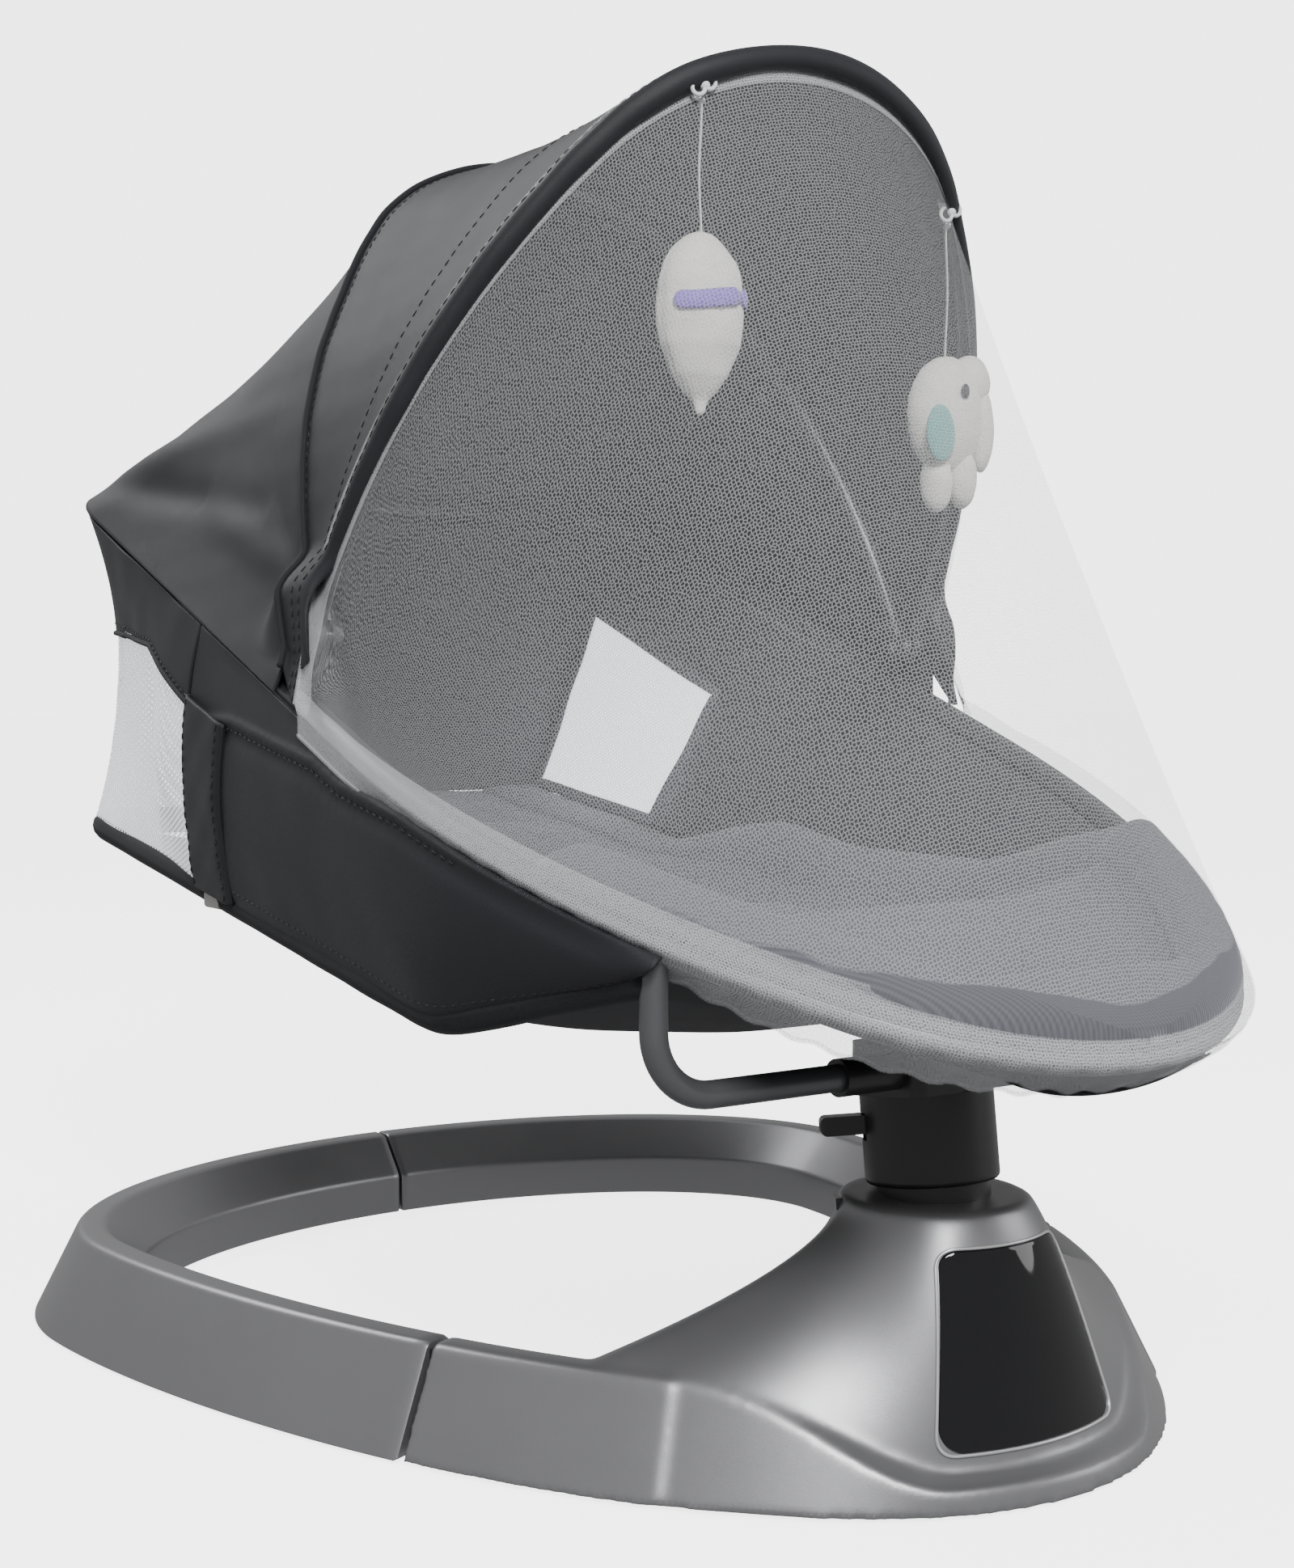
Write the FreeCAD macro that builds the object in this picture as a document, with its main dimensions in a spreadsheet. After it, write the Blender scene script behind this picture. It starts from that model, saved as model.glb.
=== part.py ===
"""Electric baby swing: an egg-shaped floor ring, a motor housing with a leaning post, a tube-framed
sling seat that turns on the post, and a folding canopy with a net and two hanging toys.

Frame: millimetres, +Z up, the foot of the seat towards -Y. The origin is the floor point under the post,
where the leaning swing axis meets the floor.
"""
import FreeCAD, Part
import Sketcher
import math
import os

Vector = FreeCAD.Vector
doc = FreeCAD.newDocument("baby_swing")

# ---------------------------------------------------------------- driving dimensions
DIMENSIONS = [
    # floor ring
    ("ring_half_width", 297.6, "half of the ring's widest outside width at the floor"),
    ("ring_widest_y", 410, "distance from the post to the widest place"),
    ("ring_rear_length", 211, "widest place to the rear end"),
    ("ring_front_length", 490, "widest place to the nose"),
    ("ring_nose_power", 1.555, "roundness of the nose: 2 is an ellipse, less is more pointed"),
    ("ring_height", 50, "top of the ring above the floor"),
    ("ring_flare", 25, "how far the outer wall leans in from floor to top"),
    ("ring_top_width", 15, "width of the ring's flat top"),
    ("ring_base_width", 62, "width of the ring at the floor"),
    ("ring_crease_height", 25, "height of the crease in the inner wall"),
    ("ring_wall", 3, "wall of the hollow ring"),
    ("seam_gap", 2.4, "gap at each ring seam"),
    ("arm_joint_y", 130, "where the housing's arms end, measured at the outer floor edge"),
    ("connector_length", 46, "length of each hidden ring connector"),
    ("connector_width", 12, "width of each hidden ring connector"),
    ("connector_height", 20, "height of each hidden ring connector"),
    ("pad_height", 1.5, "how far the rubber feet stand out below"),
    ("pad_radius", 9, "radius of a rubber foot"),
    ("centre_pad_radius", 20, "radius of the rubber foot under the post"),
    # motor housing
    ("dome_top", 121, "top of the dome's collar"),
    ("dome_centre_y", 15, "dome centre behind the origin"),
    ("collar_radius", 45, "radius of the dome's collar"),
    ("skirt_height", 12, "height of the skirt round the dome's front"),
    ("skirt_lean", 3, "how far the skirt's wall leans in from floor to top"),
    ("skirt_ledge", 14, "width of the ledge between the skirt and the dome"),
    ("skirt_ledge_rise", 3.5, "how much the ledge rises towards the dome"),
    ("rear_wall_y", 82, "rear wall of the housing at the floor"),
    ("housing_wall", 3, "wall of the housing"),
    ("panel_top_z", 106, "top edge of the control panel"),
    ("panel_bottom_z", 23, "bottom edge of the control panel"),
    ("panel_top_half", 35, "half width of the panel's top edge"),
    ("panel_bottom_half", 54, "half width of the panel's bottom edge"),
    ("panel_corner", 9, "corner radius of the panel"),
    ("panel_depth", 1.6, "how deep the panel is let into the dome"),
    ("panel_proud", 0.8, "how far the panel stands out of the dome"),
    ("panel_gap", 0.4, "gap round the panel"),
    ("cover_thickness", 3, "thickness of the housing's bottom cover"),
    ("cover_gap", 0.8, "gap round the bottom cover"),
    # swing axis, post and drive
    ("lean", 7, "backward lean of the swing axis, degrees"),
    ("shaft_radius", 11, "radius of the swing shaft"),
    ("shaft_clearance", 0.05, "running clearance of the shaft in its bearings"),
    ("bearing_radius", 18, "outside radius of a bearing"),
    ("bearing_width", 12, "width of a bearing"),
    ("lower_bearing_z", 20, "lower bearing along the axis"),
    ("upper_bearing_z", 98, "upper bearing along the axis"),
    ("bearing_seat_wall", 5, "wall round a bearing"),
    ("gear_z", 62, "gears along the axis"),
    ("gear_width", 9, "width of the gears"),
    ("gear_size", 1.5, "gear module"),
    ("sector_teeth", 64, "teeth on a full turn of the sector gear"),
    ("pinion_teeth", 12, "teeth on the pinion"),
    ("gear_backlash", 0.35, "play between the teeth"),
    ("motor_radius", 17, "radius of the gearmotor"),
    ("motor_length", 42, "length of the gearmotor"),
    ("pinion_shaft_radius", 3, "radius of the gearmotor's shaft"),
    ("post_radius", 32, "radius of the post"),
    ("post_bottom", 127, "bottom of the post along the axis"),
    ("post_top", 170, "top of the post along the axis"),
    ("post_wall", 3.5, "wall of the post"),
    ("post_edge", 3, "rounded lower edge of the post"),
    ("gap_ring_radius", 27, "radius of the dark ring in the gap under the post"),
    ("gap_ring_clearance", 0.5, "clearance round the shaft and under the post"),
    ("lever_width", 15, "width of the release lever"),
    ("lever_height", 9, "height of the release lever"),
    ("lever_reach", 20, "how far the lever stands out of the post"),
    ("lever_z", 156, "height of the lever along the axis"),
    ("lever_angle", 146, "side of the post that the lever is on, degrees from +X"),
    ("lever_pin_radius", 1.6, "radius of the lever's pin"),
    ("lever_clearance", 0.8, "clearance round the lever in its slot"),
    ("stop_width", 16, "width of the swing stop on the dome"),
    ("stop_depth", 19, "depth of the swing stop, which reaches out through the collar"),
    ("stop_height", 11.5, "height of the swing stop"),
    ("flange_z", 107, "underside of the upper bearing seat's flange along the axis"),
    ("flange_thickness", 4, "thickness of the upper bearing seat's flange"),
    ("flange_radius", 38.5, "radius of the upper bearing seat's flange"),
    ("seat_foot_radius", 34, "radius of the lower bearing seat's foot"),
    # seat carrier
    ("mount_width", 66, "width of the seat mount block"),
    ("mount_depth", 50, "depth of the seat mount block"),
    ("mount_height", 24, "height of the seat mount block"),
    ("bracket_radius", 6.3, "radius of the bracket tube"),
    ("bracket_y", 6, "bracket tube behind the origin"),
    ("bracket_z", 183, "height of the bracket tube's cross bar"),
    ("bracket_half", 168, "half of the distance between the bracket's legs"),
    ("bracket_bend", 30, "bend radius of the bracket tube"),
    ("coupling_radius", 8.8, "radius of the sleeves on the bracket tube"),
    ("coupling_length", 34, "length of the sleeves on the bracket tube"),
    ("rim_radius", 7, "radius of the seat's upper tube"),
    ("rim_slope", 22.05, "slope of the seat's upper tube, degrees"),
    ("rim_foot_y", -112, "foot end of the upper tube"),
    ("rim_foot_z", 203, "height of the upper tube at the foot end"),
    ("rim_half", 212, "half width of the upper tube"),
    ("rim_tip_radius", 150, "radius of the foot end"),
    ("rim_tip_angle", 50, "half angle of the foot end's arc, degrees"),
    ("rim_length", 762, "length of the upper tube in its own plane"),
    ("rim_corner", 62, "radius of the head end's corners"),
    ("lower_radius", 5.5, "radius of the lower tube"),
    ("lower_half", 205, "half width of the lower tube"),
    ("lower_front_z", 236, "height of the lower tube at its front ends"),
    ("lower_dip_y", 126, "where the lower tube is lowest"),
    ("lower_dip_z", 206, "height of the lower tube at its lowest place"),
    ("lower_clip_y", 378, "where the clips hold the lower tube"),
    ("lower_clip_z", 246, "height of the lower tube at the clips"),
    ("lower_rear_y", 580, "rear end of the lower tube"),
    ("lower_rear_z", 277, "height of the lower tube at the rear"),
    ("lower_bend", 58, "bend radius of the lower tube"),
    ("clip_size", 20, "length of a clip on the lower tube"),
    ("clip_wall", 2.5, "wall of a clip"),
    # canopy
    ("pivot_half", 205, "half of the distance between the canopy pivots"),
    ("pivot_y", 263, "canopy pivots behind the origin"),
    ("pivot_z", 388, "height of the canopy pivots"),
    ("hub_radius", 15, "radius of a canopy hub"),
    ("hub_width", 4, "width of a canopy hub's plate"),
    ("hub_offset", -1.3, "hub plate's inner face, measured inwards from the front hoop's outside"),
    ("pin_radius", 3, "radius of a canopy pin"),
    ("pin_clearance", 0.05, "running clearance of the canopy hoops on their pins"),
    ("hoop_radius", 4.2, "radius of a canopy hoop"),
    ("front_hoop_length", 327, "pivots to the top of the front hoop"),
    ("front_hoop_lean", 28.8, "forward lean of the front hoop, degrees"),
    ("mid_hoop_length", 305, "pivots to the top of the middle hoop"),
    ("mid_hoop_lean", 22, "backward lean of the middle hoop, degrees"),
    ("mid_hoop_inset", 9, "how far the middle hoop's ends stand in from the front hoop's"),
    # soft parts
    ("fabric", 1.5, "thickness of the fabric solids"),
    ("fabric_gap", 3, "gap between a fabric and its tube"),
    ("seat_pad_thickness", 16, "thickness of the seat pad"),
    ("sling_sag", 22, "how far the sling hangs below the lower tube"),
    ("crotch_pad_length", 74, "length of the small crotch pad"),
    ("crotch_pad_width", 66, "width of the small crotch pad"),
    ("crotch_pad_height", 22, "height of the small crotch pad"),
    ("crotch_pad_y", 146, "middle of the small crotch pad"),
    ("shell_start_y", 34, "front end of the side shells"),
    ("lining_start_y", 62, "front end of the lining"),
    ("lining_half", 124, "half width between the linings at the pad"),
    ("lining_lean", 4, "how far the lining leans forward from rim to pad"),
    ("lining_rear_y", 560, "rear end of the lining's lower edge"),
    # toys
    ("strap_width", 4, "width of the toys' tapes"),
    ("strap_thickness", 1.2, "thickness of the toys' tapes"),
    ("toy_a_x", -66.5, "first toy along X"),
    ("toy_a_drop", 76, "hoop to the top of the first toy"),
    ("toy_a_length", 90, "length of the first toy"),
    ("toy_a_width", 47, "width of the first toy"),
    ("toy_b_x", 112, "second toy along X"),
    ("toy_b_drop", 80, "hoop to the top of the second toy"),
    ("toy_b_length", 90, "length of the second toy"),
    ("toy_b_width", 56, "width of the second toy"),
    ("toy_depth", 36, "depth of both toys"),
    # small hardware
    ("screw_radius", 2, "radius of the cover screws"),
    ("screw_head_radius", 3.5, "radius of the screw heads"),
    ("screw_length", 9, "length of the cover screws"),
    ("board_thickness", 1.6, "thickness of the circuit boards"),
    ("board_rise", 6, "height of the control board above the bottom cover"),
    ("control_board_x", -92, "left edge of the control board along X"),
    ("control_board_y", 5, "front edge of the control board along Y"),
    ("panel_board_y", -30, "face of the panel board along Y"),
    ("panel_board_z", 66, "middle of the panel board's height"),
    ("speaker_x", -42, "loudspeaker along X"),
    ("speaker_y", 55, "loudspeaker along Y"),
    ("control_board_length", 44, "length of the control board"),
    ("control_board_width", 44, "width of the control board"),
    ("panel_board_width", 46, "width of the board behind the panel"),
    ("panel_board_height", 54, "height of the board behind the panel"),
    ("speaker_radius", 20, "radius of the loudspeaker"),
    ("speaker_depth", 12, "depth of the loudspeaker"),
    ("inlet_radius", 5.5, "outside radius of the power inlet"),
    ("inlet_bore", 2.8, "bore radius of the power inlet"),
    ("inlet_length", 14, "length of the power inlet"),
    ("inlet_bore_depth", 10, "depth of the power inlet's bore"),
    ("inlet_x", 60, "power inlet along X"),
    ("inlet_z", 63, "height of the power inlet, above the ring so that a plug reaches it"),
    ("inlet_proud", 3, "how far the power inlet stands out of the rear wall"),
]
sheet = doc.addObject("Spreadsheet::Sheet", "sizes")
for row, (alias, value, note) in enumerate(DIMENSIONS, start=1):
    sheet.set("A%d" % row, alias)
    sheet.set("B%d" % row, str(value))
    sheet.set("C%d" % row, note)
    sheet.setAlias("B%d" % row, alias)
doc.recompute()


def size(alias):
    """The number that the sheet holds for one alias."""
    return float(sheet.get(alias))


SUBPARTS = []


def keep(item):
    """Lists one object as a sub-part, to be checked and written at the end."""
    SUBPARTS.append(item)
    return item


def feature(label, shape, placement=None):
    """A sub-part whose shape is made with Part's own functions."""
    item = doc.addObject("Part::Feature", label)
    item.Label = label
    item.Shape = shape
    if placement is not None:
        item.Placement = placement
    return keep(item)


# ---------------------------------------------------------------- shared geometry
def smooth(value, low, high):
    """0 below low, 1 above high, and a smooth step between."""
    share = min(1.0, max(0.0, (value - low) / (high - low)))
    return share * share * (3 - 2 * share)


def signed_power(value, power):
    return math.copysign(abs(value) ** power, value)


def egg(angle, inset):
    """A point of the ring's plan outline, moved inwards by inset along its normal."""
    def place(a):
        x = size("ring_half_width") * math.cos(a)
        if math.sin(a) >= 0:
            return x, size("ring_widest_y") + size("ring_rear_length") * math.sin(a)
        power = 2 / size("ring_nose_power")
        return x, size("ring_widest_y") + size("ring_front_length") * signed_power(math.sin(a), power)
    step = 1e-3
    x, y = place(angle)
    before = place(angle - step)
    after = place(angle + step)
    along = (after[0] - before[0], after[1] - before[1])
    length = math.hypot(*along)
    return x - inset * along[1] / length, y + inset * along[0] / length


def closed_spline(points):
    curve = Part.BSplineCurve()
    curve.interpolate(Points=points, PeriodicFlag=True)
    return Part.Wire([curve.toShape()])


BAR_STEP = 0.13


def bar_corners(shrink):
    """Corners of the ring's section as (inset, height): flared outside, creased inside."""
    base = size("pad_height")
    low = base + shrink
    high = base + size("ring_height") - shrink
    lean = size("ring_flare") / size("ring_height")
    low_inset = lean * shrink + shrink
    high_inset = lean * (size("ring_height") - shrink) + shrink
    inner_low = size("ring_base_width") - shrink
    inner_high = size("ring_flare") + size("ring_top_width") - shrink
    crease = base + size("ring_crease_height")
    return [(low_inset, low), (high_inset, high), (inner_high, high), (inner_low, crease), (inner_low, low)]


def outline_bar(start, end, shrink):
    """A bar of the ring's section along the outline between two angles, with flat ends."""
    steps = max(4, int(abs(end - start) / BAR_STEP))
    curves = []
    for inset, height in bar_corners(shrink):
        points = []
        for index in range(steps + 1):
            x, y = egg(start + (end - start) * index / steps, inset)
            points.append(Vector(x, y, height))
        curve = Part.BSplineCurve()
        curve.interpolate(Points=points)
        curves.append(curve.toShape())
    faces = []
    for first, second in zip(curves, curves[1:] + curves[:1]):
        faces.append(Part.makeRuledSurface(first, second))
    for end_index in (0, -1):
        ends = [curve.Vertexes[end_index].Point for curve in curves]
        faces.append(Part.Face(Part.makePolygon(ends + ends[:1])))
    return solid_of(faces)


def solid_of(faces):
    """Sews faces into one closed solid that points outwards."""
    shell = Part.Shell(faces)
    shell.sewShape()
    solid = Part.Solid(shell)
    if solid.Volume < 0:
        solid.reverse()
    return solid


def joint_angle():
    """The outline angle, past the widest place, where the arms of the housing end."""
    share = (size("ring_widest_y") - size("arm_joint_y")) / size("ring_front_length")
    return math.asin(share ** (size("ring_nose_power") / 2))


def gap_angle(angle):
    """Half of the seam gap as a turn of the outline angle."""
    here = egg(angle, 0)
    there = egg(angle + 0.01, 0)
    return 0.01 * size("seam_gap") / 2 / math.hypot(there[0] - here[0], there[1] - here[1])


# ---------------------------------------------------------------- floor ring
left_seam = math.pi + joint_angle()
right_seam = -joint_angle()
rear_seam = math.pi / 2


def hollow_bar(start, end):
    return outline_bar(start, end, 0).cut(outline_bar(start, end, size("ring_wall")))


feature("left_base_arc", hollow_bar(rear_seam + gap_angle(rear_seam), left_seam - gap_angle(left_seam)))
feature("right_base_arc", hollow_bar(right_seam + gap_angle(right_seam), rear_seam - gap_angle(rear_seam)))


def connector(angle):
    """A bar along the outline at one seam, inside the hollow ring."""
    inset = size("ring_flare") + size("ring_top_width") / 2
    here = egg(angle, inset)
    beyond = egg(angle + 0.02, inset)
    turn = math.degrees(math.atan2(beyond[1] - here[1], beyond[0] - here[0]))
    length = size("connector_length")
    width = size("connector_width")
    top = size("pad_height") + size("ring_height") - size("ring_wall") - 1
    low = top - size("connector_height")
    bar = Part.makeBox(length, width, size("connector_height"), Vector(-length / 2, -width / 2, low))
    bar.Placement = FreeCAD.Placement(Vector(here[0], here[1], 0), FreeCAD.Rotation(Vector(0, 0, 1), turn))
    return bar


connectors = [connector(angle) for angle in (rear_seam, left_seam, right_seam)]
feature("ring_connectors", Part.makeCompound(connectors))


# ---------------------------------------------------------------- motor housing
DOME_ANGLES = 72
CORNER_SHARPNESS = 8


def outline_reach(angle, inset):
    """Distance from the dome's centre to the ring's outline in one direction, by halving."""
    near = 0.0
    beyond = 500.0
    width = size("ring_half_width") - inset
    length = size("ring_front_length") - inset
    for _ in range(40):
        middle = (near + beyond) / 2
        x = middle * math.cos(angle) / width
        y = (size("ring_widest_y") - size("dome_centre_y") - middle * math.sin(angle)) / length
        inside = x * x + abs(y) ** size("ring_nose_power") < 1
        near, beyond = (middle, beyond) if inside else (near, middle)
    return near


def dome_reach(angle, height):
    """Distance from the dome's centre to its skin in one direction at one height: a leaning wall, a ledge
    round the front, and the dome. Towards the arms the wall grows to the ring's own height and lean."""
    from_front = abs(math.degrees(math.atan2(math.cos(angle), -math.sin(angle))))
    arm_share = smooth(from_front, 35, 100)
    wall_height = size("skirt_height") + (size("ring_height") - size("skirt_height")) * arm_share
    wall_lean = size("skirt_lean") + (size("ring_flare") + 2 - size("skirt_lean")) * arm_share
    ledge_rise = size("skirt_ledge_rise") * (1 - arm_share)
    lean = wall_lean * min(1.0, height / wall_height)
    ledge_top = wall_height + ledge_rise + 0.01
    ledge = size("skirt_ledge") * (1 - arm_share) * smooth(height, wall_height, ledge_top)
    reach = outline_reach(angle, 1 + lean + ledge)
    if math.sin(angle) > 0.05:
        wall_reach = (size("rear_wall_y") - size("dome_centre_y")) / math.sin(angle)
        reach = (reach ** -CORNER_SHARPNESS + wall_reach ** -CORNER_SHARPNESS) ** (-1 / CORNER_SHARPNESS)
    power = 0.72 + 0.95 * smooth(from_front, 30, 112)
    dome_start = wall_height + ledge_rise
    drop = (size("dome_top") - height) / (size("dome_top") - dome_start)
    drop = min(1.0, max(0.0, drop))
    return size("collar_radius") + (reach - size("collar_radius")) * drop ** power


def dome_wire(height, inset, rise=0):
    """The skin's outline at one height, moved in by inset and taken from rise further up."""
    points = []
    for index in range(DOME_ANGLES):
        angle = 2 * math.pi * (index + 0.5) / DOME_ANGLES
        reach = dome_reach(angle, height + rise) - inset
        y = size("dome_centre_y") + reach * math.sin(angle)
        points.append(Vector(reach * math.cos(angle), y, height))
    return closed_spline(points)


DOME_SLICES = (6, 12, 13, 14.5, 15.6, 18, 22, 28, 36, 44, 50, 57, 65, 73, 81, 89, 97, 104, 110, 115, 118)


def dome_solid(inset, bottom, top, rise=0):
    """The dome between two heights, straight from slice to slice."""
    heights = [bottom] + [value for value in DOME_SLICES if bottom + 1 < value < top - 1] + [top]
    return Part.makeLoft([dome_wire(value, inset, rise) for value in heights], True, True)


ARM_OVERLAP = 0.34
floor_z = size("pad_height")
wall = size("housing_wall")
outer_dome = dome_solid(0, floor_z, size("dome_top"))
inner_dome = dome_solid(wall, floor_z - 1, size("dome_top") - wall, wall)
housing = outer_dome
for seam, direction in ((left_seam, 1), (right_seam, -1)):
    start = seam + direction * gap_angle(seam)
    housing = housing.fuse(hollow_bar(start, start + direction * ARM_OVERLAP))
housing = housing.cut(inner_dome)

lean_turn = FreeCAD.Rotation(Vector(1, 0, 0), -size("lean"))
axis_place = FreeCAD.Placement(Vector(0, 0, 0), lean_turn)


def on_axis(shape):
    """A shape drawn about its own Z, put on the leaning swing axis."""
    shape.Placement = axis_place
    return shape


collar_hole = on_axis(Part.makeCylinder(size("gap_ring_radius") + 0.6, 60, Vector(0, 0, 104)))


def panel_prism(grow):
    """The control panel's outline seen from the front, as a long prism with round corners."""
    top = size("panel_top_z") + grow
    bottom = size("panel_bottom_z") - grow
    top_half = size("panel_top_half") + grow
    bottom_half = size("panel_bottom_half") + grow
    corners = [(-bottom_half, bottom), (bottom_half, bottom), (top_half, top), (-top_half, top)]
    start = -160
    wire = Part.makePolygon([Vector(x, start, z) for x, z in corners + corners[:1]])
    prism = Part.Face(wire).extrude(Vector(0, 160, 0))
    long_edges = [e for e in prism.Edges if abs(e.tangentAt(e.FirstParameter).y) > 0.99]
    return prism.makeFillet(size("panel_corner") + grow, long_edges)


panel_floor = dome_solid(size("panel_depth"), floor_z, size("dome_top"))
panel_skin = dome_solid(-size("panel_proud"), floor_z, size("dome_top"))
housing = housing.cut(collar_hole)
housing = housing.cut(panel_prism(size("panel_gap")).cut(panel_floor))


def rear_wall_at(x, height):
    """Y of the housing's rear skin at one x and height, by repeated correction of the direction."""
    angle = math.pi / 3
    for _ in range(30):
        angle = math.acos(x / dome_reach(angle, height))
    return size("dome_centre_y") + dome_reach(angle, height) * math.sin(angle)


inlet_mouth_y = rear_wall_at(size("inlet_x"), size("inlet_z")) + size("inlet_proud")
inlet_spot = Vector(size("inlet_x"), inlet_mouth_y - size("inlet_length"), size("inlet_z"))
inlet_hole = Part.makeCylinder(size("inlet_radius") + 0.2, 30, inlet_spot, Vector(0, 1, 0))
housing = housing.cut(inlet_hole)


def stop_block(grow):
    """The swing stop: a lug beside the post, drawn on the swing axis and turned to the lever's side."""
    start = size("gap_ring_radius") + 1.5
    width = size("stop_width") + 2 * grow
    length = size("stop_depth") + grow
    low = size("flange_z") + size("flange_thickness")
    block = Part.makeBox(length, width, size("stop_height"), Vector(start, -width / 2, low))
    turn = FreeCAD.Rotation(Vector(0, 0, 1), size("lever_angle"))
    block.Placement = axis_place.multiply(FreeCAD.Placement(Vector(0, 0, 0), turn))
    return block


housing = housing.cut(stop_block(0.4))
feature("motor_housing", housing)
feature("swing_stop", stop_block(0))
feature("control_panel", panel_prism(0).common(panel_skin).cut(panel_floor))

cover_low = size("pad_height")
cover_top = cover_low + size("cover_thickness")
cover_inset = wall + size("cover_gap")
cover_wires = [dome_wire(height, cover_inset + 3) for height in (cover_low, cover_top)]
cover = Part.makeLoft(cover_wires, True, True)
SCREW_SPOTS = ((-95, 40), (95, 40), (-80, -28), (80, -28), (0, 62))
screw_holes = []
screws = []
for x, y in SCREW_SPOTS:
    place = Vector(x, y, cover_low)
    screw_holes.append(Part.makeCylinder(size("screw_radius") + 0.1, size("cover_thickness") + 2, place))
    head = Part.makeCylinder(size("screw_head_radius"), 1.2, place)
    stem = Part.makeCylinder(size("screw_radius"), size("screw_length"), place)
    screws.append(head.fuse(stem).removeSplitter())
    screw_holes.append(Part.makeCylinder(size("screw_head_radius") + 0.1, 1.2, place))
for tool in screw_holes:
    cover = cover.cut(tool)
feature("housing_bottom_cover", cover)
feature("cover_screws", Part.makeCompound(screws))


# ---------------------------------------------------------------- bodies made from sketches
def origin_plane(body, role):
    return [item for item in body.Origin.OriginFeatures if item.Role == role][0]


def new_sketch(body, label, start):
    """An empty sketch on the body's XY plane, lifted to the height that an expression gives."""
    sketch = body.newObject("Sketcher::SketchObject", label + "_sketch")
    sketch.AttachmentSupport = [(origin_plane(body, "XY_Plane"), "")]
    sketch.MapMode = "FlatFace"
    sketch.setExpression("AttachmentOffset.Base.z", start)
    return sketch


def add_circle(sketch, radius, guess):
    circle = sketch.addGeometry(Part.Circle(Vector(0, 0, 0), Vector(0, 0, 1), guess), False)
    sketch.addConstraint(Sketcher.Constraint("Coincident", circle, 3, -1, 1))
    index = sketch.addConstraint(Sketcher.Constraint("Radius", circle, guess))
    sketch.setExpression("Constraints[%d]" % index, radius)


def add_rectangle(sketch, width, depth):
    """A rectangle centred on the sketch's origin, its sides bound to two expressions."""
    corners = [Vector(-10, -5, 0), Vector(10, -5, 0), Vector(10, 5, 0), Vector(-10, 5, 0)]
    for index in range(4):
        sketch.addGeometry(Part.LineSegment(corners[index], corners[(index + 1) % 4]), False)
    for index in range(4):
        sketch.addConstraint(Sketcher.Constraint("Coincident", index, 2, (index + 1) % 4, 1))
    for index, kind in enumerate(("Horizontal", "Vertical", "Horizontal", "Vertical")):
        sketch.addConstraint(Sketcher.Constraint(kind, index))
    sketch.addConstraint(Sketcher.Constraint("Symmetric", 0, 1, 1, 2, -1, 1))
    across = sketch.addConstraint(Sketcher.Constraint("DistanceX", 0, 1, 0, 2, 20.0))
    sketch.setExpression("Constraints[%d]" % across, width)
    along = sketch.addConstraint(Sketcher.Constraint("DistanceY", 1, 1, 1, 2, 10.0))
    sketch.setExpression("Constraints[%d]" % along, depth)


def pad_body(label, fill_sketch, start, length, place=None):
    """A body with one sketch, padded upwards from start by length."""
    body = doc.addObject("PartDesign::Body", label)
    body.Label = label
    sketch = new_sketch(body, label, start)
    fill_sketch(sketch)
    pad = body.newObject("PartDesign::Pad", label + "_pad")
    pad.Profile = sketch
    pad.setExpression("Length", length)
    if place is not None:
        body.Placement = place
    return keep(body)


def round_body(label, outer, inner, start, length, place=None):
    """A disc or tube about the body's Z."""
    def fill(sketch):
        add_circle(sketch, outer, 10.0)
        if inner:
            add_circle(sketch, inner, 5.0)
    return pad_body(label, fill, start, length, place)


def block_body(label, width, depth, start, length, place=None):
    """A block centred on the body's Z."""
    return pad_body(label, lambda sketch: add_rectangle(sketch, width, depth), start, length, place)


# ---------------------------------------------------------------- swing shaft, bearings and drive
bearing_bore = "sizes.shaft_radius + sizes.shaft_clearance"
round_body("lower_bearing", "sizes.bearing_radius", bearing_bore, "sizes.lower_bearing_z",
           "sizes.bearing_width", axis_place)
round_body("upper_bearing", "sizes.bearing_radius", bearing_bore, "sizes.upper_bearing_z",
           "sizes.bearing_width", axis_place)
shaft_start = size("lower_bearing_z") - 1
shaft_end = size("post_top") - size("post_wall") - 2
round_body("swing_shaft", "sizes.shaft_radius", None, "sizes.lower_bearing_z - 1",
           "sizes.post_top - sizes.post_wall - 2 - (sizes.lower_bearing_z - 1)", axis_place)
ring_start = "sizes.flange_z + sizes.flange_thickness"
round_body("gap_ring", "sizes.gap_ring_radius", "sizes.shaft_radius + sizes.gap_ring_clearance", ring_start,
           "sizes.post_bottom - sizes.gap_ring_clearance - (%s)" % ring_start, axis_place)

above_cover = Part.makeBox(400, 400, 400, Vector(-200, -200, cover_top))
seat_outer = size("bearing_radius") + size("bearing_seat_wall")
lower_seat_top = size("lower_bearing_z") + size("bearing_width")
lower_seat_bar = Part.makeCylinder(seat_outer, lower_seat_top + 20, Vector(0, 0, -20))
lower_seat = on_axis(lower_seat_bar).common(above_cover)
lower_seat = lower_seat.fuse(Part.makeCylinder(size("seat_foot_radius"), 3, Vector(0, 0, cover_top)))
bearing_pocket = Part.makeCylinder(size("bearing_radius"), 100, Vector(0, 0, size("lower_bearing_z")))
lower_seat = lower_seat.cut(on_axis(bearing_pocket))
shaft_pocket = Part.makeCylinder(size("shaft_radius") + 2, 100, Vector(0, 0, shaft_start - 2))
feature("lower_bearing_seat", lower_seat.cut(on_axis(shaft_pocket)))

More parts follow.
